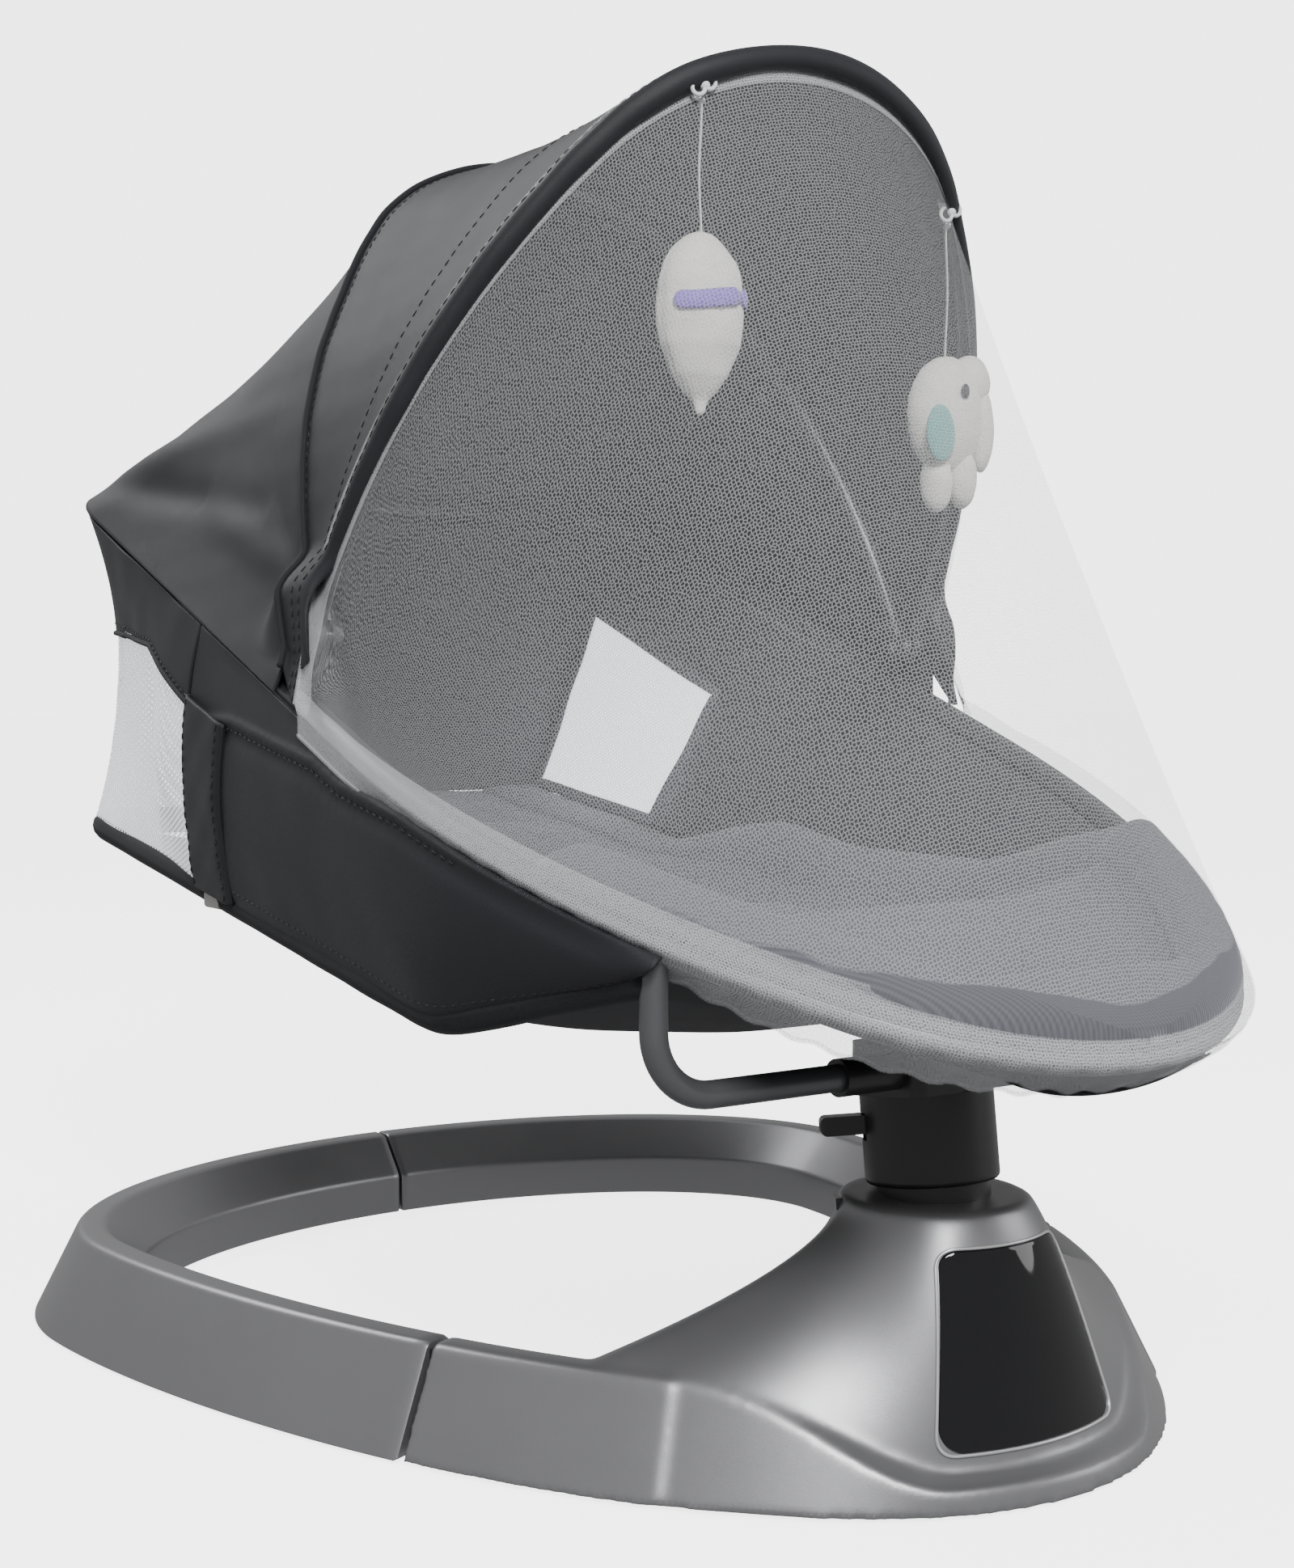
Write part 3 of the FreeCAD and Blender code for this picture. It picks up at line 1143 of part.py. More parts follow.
def hoop_point(x):
    """The front hoop's centre line at one x, and its direction there."""
    points = tie_path.discretize(Number=600)
    index = min(range(1, 599), key=lambda i: abs(points[i].x - x))
    here = front_frame.multVec(points[index])
    along = front_frame.multVec(points[index + 1]) - front_frame.multVec(points[index - 1])
    return Vector(x, here.y, here.z), along.normalize()


for name in ("toy_a", "toy_b"):
    x = size(name + "_x")
    hang, along = hoop_point(x)
    tie_start = hang - along * (TIE_LENGTH / 2)
    tie = Part.makeCylinder(size("hoop_radius") + TIE_WALL, TIE_LENGTH, tie_start, along)
    ties.append(tie.cut(front_hoop_shape))
    hook_centre = hang - Vector(0, 0, HOOK_DROP)
    hook = doc.addObject("Part::Sphere", name + "_hook")
    hook.Label = name + "_hook"
    hook.Radius = 2.6
    hook.Placement = FreeCAD.Placement(hook_centre, FreeCAD.Rotation())
    keep(hook)
    strap_low = hang.z - size(name + "_drop")
    strap_top = hook_centre.z - 3.6
    feature(name + "_strap", Part.makeBox(size("strap_width"), size("strap_thickness"), strap_top - strap_low,
            Vector(x - size("strap_width") / 2, hang.y - size("strap_thickness") / 2, strap_low)))
    plush = doc.addObject("Part::Ellipsoid", name + "_plush")
    plush.Label = name + "_plush"
    plush.setExpression("Radius1", "sizes.%s_length / 2" % name)
    plush.setExpression("Radius2", "sizes.%s_width / 2" % name)
    plush.setExpression("Radius3", "sizes.toy_depth / 2")
    middle = Vector(x, hang.y, strap_low - size(name + "_length") / 2)
    plush.Placement = FreeCAD.Placement(middle, FreeCAD.Rotation())
    keep(plush)
feature("toy_ties", Part.makeCompound(ties))

# ---------------------------------------------------------------- check and write
doc.recompute()
os.makedirs("parts", exist_ok=True)
for item in doc.Objects:
    if "Invalid" in item.State or "Error" in item.State:
        raise RuntimeError("%s failed: %s" % (item.Label, item.State))
for item in SUBPARTS:
    if item.Shape.isNull() or not item.Shape.isValid():
        raise RuntimeError("%s has no valid shape" % item.Label)
for item in SUBPARTS:
    item.Shape.exportStep("parts/%s.step" % item.Label)
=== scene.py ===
"""Looks of the baby swing: painted base, fabric seat, folding canopy, net and hanging toys.

Laid out as an add-on: property groups hold the sizes and colours, and one operator makes each group of
pieces. All lengths are in metres, +Z is up and the foot of the seat is towards -Y.
"""
import math

import bmesh
import bpy
import numpy as np
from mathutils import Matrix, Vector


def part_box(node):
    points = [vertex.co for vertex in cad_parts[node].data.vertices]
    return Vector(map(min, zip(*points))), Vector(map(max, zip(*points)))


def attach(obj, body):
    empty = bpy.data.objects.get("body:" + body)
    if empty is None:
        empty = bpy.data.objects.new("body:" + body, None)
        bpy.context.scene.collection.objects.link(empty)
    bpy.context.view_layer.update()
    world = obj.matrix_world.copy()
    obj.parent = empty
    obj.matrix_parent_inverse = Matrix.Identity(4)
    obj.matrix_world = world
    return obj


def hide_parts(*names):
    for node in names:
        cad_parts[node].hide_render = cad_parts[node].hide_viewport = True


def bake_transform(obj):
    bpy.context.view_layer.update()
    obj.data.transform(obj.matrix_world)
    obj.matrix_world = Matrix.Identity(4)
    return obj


bl_info = {
    "name": "Baby swing",
    "version": (1, 0, 0),
    "blender": (4, 5, 0),
    "location": "3D View > Sidebar > Swing",
    "description": "Builds the visible pieces of a baby swing around its packed frame",
    "category": "Object",
}

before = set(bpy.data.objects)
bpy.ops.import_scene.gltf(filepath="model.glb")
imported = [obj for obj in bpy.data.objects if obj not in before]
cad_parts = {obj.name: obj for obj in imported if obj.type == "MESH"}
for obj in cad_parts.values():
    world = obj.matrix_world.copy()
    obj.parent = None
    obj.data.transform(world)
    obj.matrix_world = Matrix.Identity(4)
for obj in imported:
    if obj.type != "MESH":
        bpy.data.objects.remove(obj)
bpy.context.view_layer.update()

HEART = np.array([0.0, 0.25, 0.38])
UP = np.array([0.0, 0.0, 1.0])
ACROSS = np.array([1.0, 0.0, 0.0])


def corners(node):
    """Lowest and highest corner of a CAD node, as arrays."""
    low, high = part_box(node)
    return np.array(low), np.array(high)


PIN_LOW, PIN_HIGH = corners("canopy_pins")
PIVOT = np.array([0.0, (PIN_LOW[1] + PIN_HIGH[1]) / 2, (PIN_LOW[2] + PIN_HIGH[2]) / 2])
RIM_LOW, RIM_HIGH = corners("seat_rim_tube")
LOWER_LOW, LOWER_HIGH = corners("lower_tube")
LEFT_ARC_LOW, LEFT_ARC_HIGH = corners("left_base_arc")
HOUSING_HIGH = corners("motor_housing")[1]


# ---------------------------------------------------------------- sizes and colours
def length(name, description, default):
    return bpy.props.FloatProperty(name=name, description=description, default=default, min=0.0,
                                   unit="LENGTH")


def colour(name, description, default):
    return bpy.props.FloatVectorProperty(name=name, description=description, default=default, size=3,
                                         min=0.0, max=1.0, subtype="COLOR")


class SwingSizes(bpy.types.PropertyGroup):
    ring_widest_y: length("Ring's widest place", "Distance from the post to the ring's widest place", 0.410)
    ring_front: length("Ring front length", "Widest place to the nose", 0.490)
    ring_base_width: length("Ring base width", "Width of the ring's section at the floor", 0.062)
    ring_edge: length("Ring edge radius", "Rounding of the ring's edges", 0.0022)
    arm_joint_y: length("Arm joint", "Distance from the post to the seam between arms and ring", 0.130)
    dome_centre_y: length("Dome centre", "Distance of the dome's centre behind the post's foot", 0.015)
    rear_wall_y: length("Rear wall", "Distance of the housing's rear wall behind the post's foot", 0.082)
    seam_gap: length("Seam gap", "Gap at each ring seam", 0.0024)
    rim_radius: length("Rim radius", "Radius of the seat's upper tube", 0.007)
    rim_tip_radius: length("Foot radius", "Radius of the rim's foot end", 0.150)
    rim_corner: length("Head corner radius", "Radius of the rim's head corners", 0.062)
    lower_radius: length("Lower tube radius", "Radius of the seat's lower tube", 0.0055)
    hoop_radius: length("Hoop radius", "Radius of a canopy hoop", 0.0042)
    hoop_tip_radius: length("Hoop top radius", "Radius of the top of a canopy hoop", 0.140)
    fabric: length("Fabric thickness", "Thickness of the canopy and shell cloth", 0.0012)
    hem_width: length("Net hem width", "Width of the net's double hem", 0.021)
    piping_radius: length("Piping radius", "Radius of the canopy's piping", 0.0019)
    stitch_pitch: length("Stitch pitch", "Distance between the starts of two stitches", 0.0062)


class SwingColours(bpy.types.PropertyGroup):
    silver: colour("Silver paint", "Base ring and housing", (0.27, 0.27, 0.28))
    gloss: colour("Gloss black", "Control panel", (0.006, 0.006, 0.007))
    black: colour("Black plastic", "Post, lever and mount", (0.018, 0.018, 0.019))
    clip: colour("Grey clip", "Clips on the lower tube", (0.42, 0.41, 0.39))
    tube: colour("Tube paint", "Bracket tube and frame tubes", (0.13, 0.133, 0.14))
    charcoal: colour("Charcoal cloth", "Canopy and side shells", (0.015, 0.0155, 0.019))
    lining: colour("Lining cloth", "Inner side walls", (0.040, 0.041, 0.049))
    pad: colour("Pad twill", "Seat pad", (0.115, 0.117, 0.135))
    net: colour("Net", "Mosquito net and mesh panels", (0.86, 0.87, 0.90))
    plush: colour("Plush", "Toy bodies", (0.84, 0.82, 0.77))
    ribbon: colour("Ribbon", "Ribbon on the first toy", (0.24, 0.14, 0.62))
    ear: colour("Ear", "Ear of the second toy", (0.16, 0.42, 0.40))
    floor: colour("Floor", "Studio floor", (0.85, 0.85, 0.85))


# ---------------------------------------------------------------- lines
def smooth_step(value, low, high):
    """0 below low, 1 above high, and the cubic 3s^2 - 2s^3 between, for whole arrays."""
    share = np.clip((value - low) / (high - low), 0, 1)
    return share * share * (3 - 2 * share)


def unit(vectors):
    """Vectors scaled to length 1, along the last axis."""
    return vectors / np.maximum(np.linalg.norm(vectors, axis=-1, keepdims=True), 1e-12)


def travelled(line):
    """Distance along a polyline at each of its points."""
    steps = np.linalg.norm(np.diff(line, axis=0), axis=1)
    return np.concatenate([[0.0], np.cumsum(steps)])


def at_distances(line, distances):
    """Points of a polyline at the given distances along it, by straight interpolation."""
    along = travelled(line)
    return np.stack([np.interp(distances, along, line[:, axis]) for axis in range(line.shape[1])], axis=1)


def evenly(line, count):
    """A polyline resampled at count evenly spaced distances."""
    return at_distances(line, np.linspace(0, travelled(line)[-1], count))


def softened(line, radius, count):
    """A polyline with its corners rounded: each point becomes the mean of the line over a window of
    twice the radius, with the ends kept."""
    fine = evenly(line, count)
    step = travelled(fine)[-1] / (count - 1)
    half = max(1, int(radius / step))
    padded = np.concatenate([2 * fine[0] - fine[half:0:-1], fine, 2 * fine[-1] - fine[-2:-half - 2:-1]])
    window = np.hanning(2 * half + 3)[1:-1]
    window /= window.sum()
    return np.stack([np.convolve(padded[:, axis], window, "valid") for axis in range(3)], axis=1)


def arch(half, height, tip_radius, tip_angle, start, count):
    """An arch in its own plane, from (-half, start) over (0, height) to (half, start): a circular tip
    that spans tip_angle to each side, two side circles tangent to it, and straight legs."""
    side_radius = (half - tip_radius * math.sin(tip_angle)) / (1 - math.sin(tip_angle))
    spring = height - tip_radius - (side_radius - tip_radius) * math.cos(tip_angle)
    tip_turn = np.linspace(0, tip_angle, 120)
    side_turn = np.linspace(tip_angle, math.pi / 2, 240)
    tip = np.stack([tip_radius * np.sin(tip_turn), height - tip_radius + tip_radius * np.cos(tip_turn)],
                   axis=1)
    side = np.stack([half - side_radius + side_radius * np.sin(side_turn),
                     spring + side_radius * np.cos(side_turn)],
                    axis=1)
    right = np.concatenate([tip, side[1:]])
    if start < spring:
        right = np.concatenate([right, [[half, start]]])
    else:
        keep = right[:, 1] > start
        last_x = np.interp(start, right[::-1, 1], right[::-1, 0])
        right = np.concatenate([right[keep], [[last_x, start]]])
    whole = np.concatenate([right[:0:-1] * [-1, 1], right])
    return evenly(whole, count)


def in_plane(flat, origin, up):
    """Points drawn in a plane, placed with their first axis along X and their second along up."""
    return origin + flat[:, :1] * ACROSS + flat[:, 1:] * up


def hoop_plane(node, radius):
    """Half width, height and upward direction of a canopy hoop, worked out from its box."""
    low, high = corners(node)
    half = (high[0] - low[0]) / 2 - radius
    forward = low[1] + radius - PIVOT[1]
    backward = high[1] - radius - PIVOT[1]
    reach = forward if node == "front_hoop" else backward
    rise = high[2] - radius - PIVOT[2]
    return half, math.hypot(reach, rise), np.array([0.0, reach, rise]) / math.hypot(reach, rise)


HOOP_TIP_ANGLE = math.radians(52)
RIM_TIP_ANGLE = math.radians(50)


class Lines:
    """The lines that the soft pieces hang on, worked out once from the frame and the sizes."""

    def __init__(self, sizes):
        self.sizes = sizes
        r = sizes.rim_radius
        self.foot = np.array([0.0, RIM_LOW[1] + r, RIM_LOW[2] + r])
        self.head = np.array([0.0, RIM_HIGH[1] - r, RIM_HIGH[2] - r])
        self.rim_half = RIM_HIGH[0] - r
        self.rim_length = float(np.linalg.norm(self.head - self.foot))
        self.rim_up = (self.head - self.foot) / self.rim_length
        self.rim_normal = np.cross(ACROSS, self.rim_up)

    def hoop(self, node, grow, start, count, tilt=0.0):
        """A canopy hoop's line grown outwards by grow, from start above the pivots on each side."""
        half, height, up = hoop_plane(node, self.sizes.hoop_radius)
        turned = np.array([0.0, up[1] * math.cos(tilt) - up[2] * math.sin(tilt),
                           up[1] * math.sin(tilt) + up[2] * math.cos(tilt)])
        flat = arch(half + grow, height + grow, self.sizes.hoop_tip_radius + grow, HOOP_TIP_ANGLE, start,
                    count)
        return in_plane(flat, PIVOT, turned)

    def rim_outline(self, grow, count=1200):
        """The whole rim's line grown outwards, from the middle of the head end round the left side,
        the foot and the right side, back to the middle of the head end."""
        size = self.sizes
        corner = size.rim_corner + grow
        foot = arch(self.rim_half + grow, self.rim_length - size.rim_corner + grow,
                    size.rim_tip_radius + grow,
                    RIM_TIP_ANGLE, 0, 900)
        turn = np.linspace(0, math.pi / 2, 40)
        left = np.stack([-(self.rim_half + grow) + corner * (1 - np.cos(turn)), -corner * np.sin(turn)],
                        axis=1)
        left = np.concatenate([left, [[0.0, -corner]]])[::-1]
        right = left[::-1] * [-1, 1]
        line = np.concatenate([left[:-1], foot, right[1:]])
        base = self.head - self.rim_up * size.rim_corner
        return evenly(in_plane(line, base, -self.rim_up), count)

    def rim_part(self, grow, start_y, count, lift=0.0, foot=True):
        """The rim's line from start_y on the left to start_y on the right, round the foot or the head."""
        line = self.rim_outline(grow)
        if not foot:
            middle = len(line) // 2
            line = np.concatenate([line[middle:-1], line[:middle + 1]])[::-1]
        keep = line[:, 1] < start_y if foot else line[:, 1] > start_y
        return evenly(line[keep], count) + UP * lift

    def lower_line(self, grow, start_y, count):
        """The lower tube's line grown outwards, from start_y on the left round the rear to the right."""
        r = self.sizes.lower_radius
        half = LOWER_HIGH[0] - r + grow
        rear = LOWER_HIGH[1] - r + grow
        low, rear_z = LOWER_LOW[2] + r - 0.0015, LOWER_HIGH[2] - r
        left = np.array([[-0.168 - grow, 0.006, 0.236], [-half + 0.002, 0.126, low], [-half, 0.378, 0.246],
                         [-half, rear, rear_z]])
        line = np.concatenate([left, (left * [-1, 1, 1])[::-1]])
        fine = softened(line, 0.030, 900)
        return evenly(fine[fine[:, 1] > start_y], count)


# ---------------------------------------------------------------- meshes
def grid_faces(rows, columns, wrap_rows=False, wrap_columns=False):
    """Corner numbers of the quads of a grid of points, as one array."""
    i = np.arange(rows if wrap_rows else rows - 1)
    j = np.arange(columns if wrap_columns else columns - 1)
    i, j = np.meshgrid(i, j, indexing="ij")
    following_row = (i + 1) % rows
    following_column = (j + 1) % columns
    quads = [i * columns + j, following_row * columns + j, following_row * columns + following_column,
             i * columns + following_column]
    return np.stack(quads, axis=-1).reshape(-1, 4)


def grid_lengths(points):
    """For each point of a grid its distance along the columns and along the rows, for the weave."""
    across = np.linalg.norm(np.diff(points, axis=1), axis=2)
    across = np.concatenate([np.zeros((len(points), 1)), np.cumsum(across, axis=1)], axis=1)
    across -= across[:, -1:] / 2
    down = np.linalg.norm(np.diff(points, axis=0), axis=2)
    down = np.concatenate([np.zeros((1, points.shape[1])), np.cumsum(down, axis=0)], axis=0)
    return np.stack([across, down], axis=-1)


def grid_normals(points, centre=HEART):
    """Unit normals of a grid by central differences, pointing away from centre."""
    normals = unit(np.cross(np.gradient(points, axis=0), np.gradient(points, axis=1)))
    if np.sum(normals * (points - centre)) < 0:
        normals = -normals
    return normals


def thick_sheet(points, thickness, centre=HEART):
    """A closed thin solid over a grid: the grid is its outer face, and each point's partner lies one
    thickness inwards along the normal."""
    rows, columns = points.shape[:2]
    normals = grid_normals(points, centre)
    inner = points - normals * thickness
    faces = grid_faces(rows, columns)
    count = rows * columns
    edge = np.concatenate([np.arange(columns), np.arange(2 * columns - 1, count, columns),
                           np.arange(count - 2, count - columns - 1, -1),
                           np.arange(count - 2 * columns, 0, -columns)])
    following = np.roll(edge, -1)
    border = np.stack([edge, following, following + count, edge + count], axis=-1)
    uv = grid_lengths(points).reshape(-1, 2)
    return (np.concatenate([points.reshape(-1, 3), inner.reshape(-1, 3)]),
            np.concatenate([faces, faces[:, ::-1] + count, border[:, ::-1]]), np.concatenate([uv, uv]))


def tube(path, radius, sides=12, side=ACROSS, flat=1.0, closed=False):
    """A round or flattened bar: each ring is path + r cos(a) n + r flat sin(a) b, where n is square to
    the path and to the side vector. Open ends close on a small dome."""
    tangents = unit(np.gradient(path, axis=0))
    if closed:
        tangents = unit(np.roll(path, -1, axis=0) - np.roll(path, 1, axis=0))
    binormals = unit(side - np.sum(tangents * side, axis=1, keepdims=True) * tangents)
    normals = np.cross(binormals, tangents)
    radii = np.broadcast_to(np.asarray(radius, float), (len(path),)).copy()
    if not closed:
        shares = np.sin(np.array([0.0, 0.5, 0.85]) * math.pi / 2)
        ends = np.cos(np.array([0.0, 0.5, 0.85]) * math.pi / 2)
        first = path[0] - tangents[0] * (ends * radii[0])[:, None]
        last = path[-1] + tangents[-1] * (ends[::-1] * radii[-1])[:, None]
        radii = np.concatenate([shares * radii[0], radii, shares[::-1] * radii[-1]])
        path = np.concatenate([first, path, last])
        normals = np.concatenate([np.repeat(normals[:1], 3, 0), normals, np.repeat(normals[-1:], 3, 0)])
        binormals = np.concatenate([np.repeat(binormals[:1], 3, 0), binormals,
                                    np.repeat(binormals[-1:], 3, 0)])
    turn = np.arange(sides) * 2 * math.pi / sides
    ring = normals[:, None] * np.cos(turn)[None, :, None] + flat * binormals[:, None] * np.sin(turn)[None,
                                                                                                     :, None]
    points = path[:, None] + radii[:, None, None] * ring
    around = np.broadcast_to(turn * np.mean(radii), points.shape[:2])
    along = np.broadcast_to(travelled(path)[:, None], points.shape[:2])
    uv = np.stack([around, along], axis=-1).reshape(-1, 2)
    return points.reshape(-1, 3), grid_faces(len(points), sides, closed, True), uv


def joined(parts):
    """Several (points, faces, uv) put into one."""
    starts = np.cumsum([0] + [len(points) for points, _, _ in parts[:-1]])
    return (np.concatenate([points for points, _, _ in parts]),
            np.concatenate([faces + start for (_, faces, _), start in zip(parts, starts)]),
            np.concatenate([uv for _, _, uv in parts]))


def stitches(line, normals, pitch, radius=0.00042, fill=0.62):
    """A row of sewing stitches: one short capsule, a ring of points swept along the line, is repeated at
    every pitch. Each point is line + t tangent + r cos(a) side + r sin(a) normal."""
    count = max(2, int(travelled(line)[-1] / pitch))
    distances = (np.arange(count) + 0.5) * travelled(line)[-1] / count
    centres = at_distances(line, distances)
    ups = unit(at_distances_of(line, normals, distances))
    ahead = at_distances(line, distances + pitch * 0.1)
    tangents = unit(ahead - at_distances(line, distances - pitch * 0.1))
    sides = np.cross(tangents, ups)
    shares = np.array([-1.0, -0.82, 0.0, 0.82, 1.0])
    swell = np.array([0.0, 0.8, 1.0, 0.8, 0.0])
    turn = np.arange(6) * math.pi / 3
    half = pitch * fill / 2
    along = shares[None, :, None, None] * half * tangents[:, None, None, :]
    ring = (np.cos(turn)[None, None, :, None] * sides[:, None, None, :]
            + np.sin(turn)[None, None, :, None] * ups[:, None, None, :])
    points = centres[:, None, None, :] + along + swell[None, :, None, None] * radius * ring
    one = grid_faces(5, 6, False, True)
    faces = (one[None] + (np.arange(count) * 30)[:, None, None]).reshape(-1, 4)
    flat = points.reshape(-1, 3)
    return flat, faces, flat[:, :2] * 1.0


def at_distances_of(line, values, distances):
    """Values given at a polyline's points, read at distances along it."""
    along = travelled(line)
    return np.stack([np.interp(distances, along, values[:, axis]) for axis in range(3)], axis=1)


def ridge(points, start, end, width):
    """Strength from 0 to 1 of a soft fold along the straight line from start to end: a bell across the
    line, and a half sine along it."""
    start, end = np.asarray(start), np.asarray(end)
    run = end - start
    share = np.clip(((points - start) @ run) / (run @ run), 0, 1)
    away = np.linalg.norm(points - (start + share[..., None] * run), axis=-1)
    return np.exp(-(away / width) ** 2) * np.sin(math.pi * share) ** 0.6


def ripple(points, scale, seed):
    """Smooth unevenness from -1 to 1: the mean of six sine waves in fixed directions."""
    rng = np.random.default_rng(seed)
    directions = unit(rng.normal(size=(6, 3)))
    phases = rng.uniform(0, 2 * math.pi, 6)
    waves = points @ directions.T * (2 * math.pi / scale)
    return np.mean(np.sin(waves * rng.uniform(0.6, 1.5, 6) + phases), axis=-1)


def ellipsoid(centre, half, rows=40, columns=48):
    """An ellipsoid whose rows run from pole to pole along Z."""
    polar = np.linspace(0, math.pi, rows)[:, None]
    turn = np.arange(columns)[None, :] * 2 * math.pi / columns
    points = np.stack([np.sin(polar) * np.cos(turn), np.sin(polar) * np.sin(turn),
                       np.cos(polar) * np.ones_like(turn)], axis=-1)
    return np.asarray(centre) + points * np.asarray(half), grid_faces(rows, columns, False, True)


def shape_uv(points):
    return points.reshape(-1, 3)[:, [0, 2]]


def add_piece(name, shape, material, body=None, closed=True):
    """Makes one mesh object from (points, faces, uv), with its doubles merged and its faces outward."""
    points, faces, uv = shape
    mesh = bpy.data.meshes.new(name)
    mesh.from_pydata(points.tolist(), [], faces.tolist())
    layer = mesh.uv_layers.new(name="cloth")
    layer.data.foreach_set("uv", uv[faces.ravel()].astype(np.float32).ravel())
    work = bmesh.new()
    work.from_mesh(mesh)
    bmesh.ops.remove_doubles(work, verts=work.verts, dist=2e-6)
    bmesh.ops.dissolve_degenerate(work, edges=work.edges, dist=1e-7)
    if closed:
        bmesh.ops.recalc_face_normals(work, faces=work.faces)
    work.to_mesh(mesh)
    work.free()
    mesh.polygons.foreach_set("use_smooth", np.ones(len(mesh.polygons), bool))
    mesh.materials.append(material)
    piece = bpy.data.objects.new(name, mesh)
    bpy.context.scene.collection.objects.link(piece)
    if body:
        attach(piece, body)
    return piece


def clean_copy(node, name, material, body, angle=32.0):
    """A copy of a CAD node with its loose triangles merged and smooth shading up to an angle."""
    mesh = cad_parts[node].data.copy()
    mesh.name = name
    work = bmesh.new()
    work.from_mesh(mesh)
    bmesh.ops.remove_doubles(work, verts=work.verts, dist=2e-6)
    bmesh.ops.dissolve_degenerate(work, edges=work.edges, dist=1e-6)
    work.to_mesh(mesh)
    work.free()
    mesh.materials.clear()
    mesh.materials.append(material)
    mesh.set_sharp_from_angle(angle=math.radians(angle))
    piece = bpy.data.objects.new(name, mesh)
    bpy.context.scene.collection.objects.link(piece)
    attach(piece, body)
    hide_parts(node)
    return piece


# ---------------------------------------------------------------- materials
class Finish:
    """A node material under construction: its Principled shader and short calls to add nodes."""

    def __init__(self, name, colour, roughness, metallic=0.0):
        self.material = bpy.data.materials.new(name)
        self.material.use_nodes = True
        self.tree = self.material.node_tree
        self.shader = next(n for n in self.tree.nodes if n.type == "BSDF_PRINCIPLED")
        self.shader.inputs["Base Color"].default_value = (*colour, 1.0)
        self.shader.inputs["Roughness"].default_value = roughness
        self.shader.inputs["Metallic"].default_value = metallic
        self.colour = colour
        self.places = self.tree.nodes.new("ShaderNodeTexCoord")

    def link(self, source, target):
        self.tree.links.new(source, target)

    def maths(self, operation, first, second=None, third=None):
        node = self.tree.nodes.new("ShaderNodeMath")
        node.operation = operation
        for socket, value in zip(node.inputs, (first, second, third)):
            if isinstance(value, (int, float)):
                socket.default_value = value
            elif value is not None:
                self.link(value, socket)
        return node.outputs[0]

    def noise(self, scale, detail=3.0, roughness=0.5, coordinate="Object"):
        node = self.tree.nodes.new("ShaderNodeTexNoise")
        node.inputs["Scale"].default_value = scale
        node.inputs["Detail"].default_value = detail
        node.inputs["Roughness"].default_value = roughness
        self.link(self.places.outputs[coordinate], node.inputs["Vector"])
        return node.outputs["Fac"]

    def weave(self, pitch, twill):
        """Height of a cloth from 0 to 1: crossed sine waves for a plain weave, slanted ones for twill."""
        split = self.tree.nodes.new("ShaderNodeSeparateXYZ")
        self.link(self.places.outputs["UV"], split.inputs[0])
        u = self.maths("MULTIPLY", split.outputs[0], 2 * math.pi / pitch)
        v = self.maths("MULTIPLY", split.outputs[1], 2 * math.pi / pitch)
        if twill:
            slant = self.maths("SINE", self.maths("ADD", u, v))
            beads = self.maths("MULTIPLY", self.maths("SINE", self.maths("MULTIPLY", v, 2.0)), 0.35)
            return self.maths("MULTIPLY_ADD", self.maths("ADD", slant, beads), 0.37, 0.5)
        product = self.maths("MULTIPLY", self.maths("SINE", u), self.maths("SINE", v))
        return self.maths("MULTIPLY_ADD", product, 0.5, 0.5)

    def tint(self, share, dark, light):
        """Colour from dark to light times the finish's own colour, by share."""
        node = self.tree.nodes.new("ShaderNodeMix")
        node.data_type = "RGBA"
        node.inputs[6].default_value = (*[min(1.0, c * dark) for c in self.colour], 1.0)
        node.inputs[7].default_value = (*[min(1.0, c * light) for c in self.colour], 1.0)
        self.link(share, node.inputs[0])
        self.link(node.outputs[2], self.shader.inputs["Base Color"])

    def rough(self, share, low, high):
        node = self.tree.nodes.new("ShaderNodeMapRange")
        node.inputs["To Min"].default_value = low
        node.inputs["To Max"].default_value = high
        self.link(share, node.inputs["Value"])
        self.link(node.outputs["Result"], self.shader.inputs["Roughness"])

    def bump(self, height, distance, strength=1.0):
        node = self.tree.nodes.new("ShaderNodeBump")
        node.inputs["Distance"].default_value = distance
        node.inputs["Strength"].default_value = strength
        self.link(height, node.inputs["Height"])
        self.link(node.outputs["Normal"], self.shader.inputs["Normal"])


def solid_finish(name, colour, roughness, metallic=0.0, grain=900.0, depth=0.00006, mottle=0.10, coat=0.0):
    """Paint, moulded plastic or metal: fine grain in the surface and slow changes of tone and gloss."""
    finish = Finish(name, colour, roughness, metallic)
    grains = finish.noise(grain, 2.0, 0.6)
    clouds = finish.noise(9.0, 4.0, 0.6)
    mixed = finish.maths("MULTIPLY_ADD", grains, 0.55, finish.maths("MULTIPLY", clouds, 0.45))
    finish.tint(mixed, 1 - mottle * 2, 1 + mottle * 2)
    finish.rough(clouds, max(0.02, roughness * 0.85), min(1.0, roughness * 1.18))
    finish.bump(grains, depth)
    finish.shader.inputs["Coat Weight"].default_value = coat
    finish.shader.inputs["Coat Roughness"].default_value = 0.15
    return finish.material


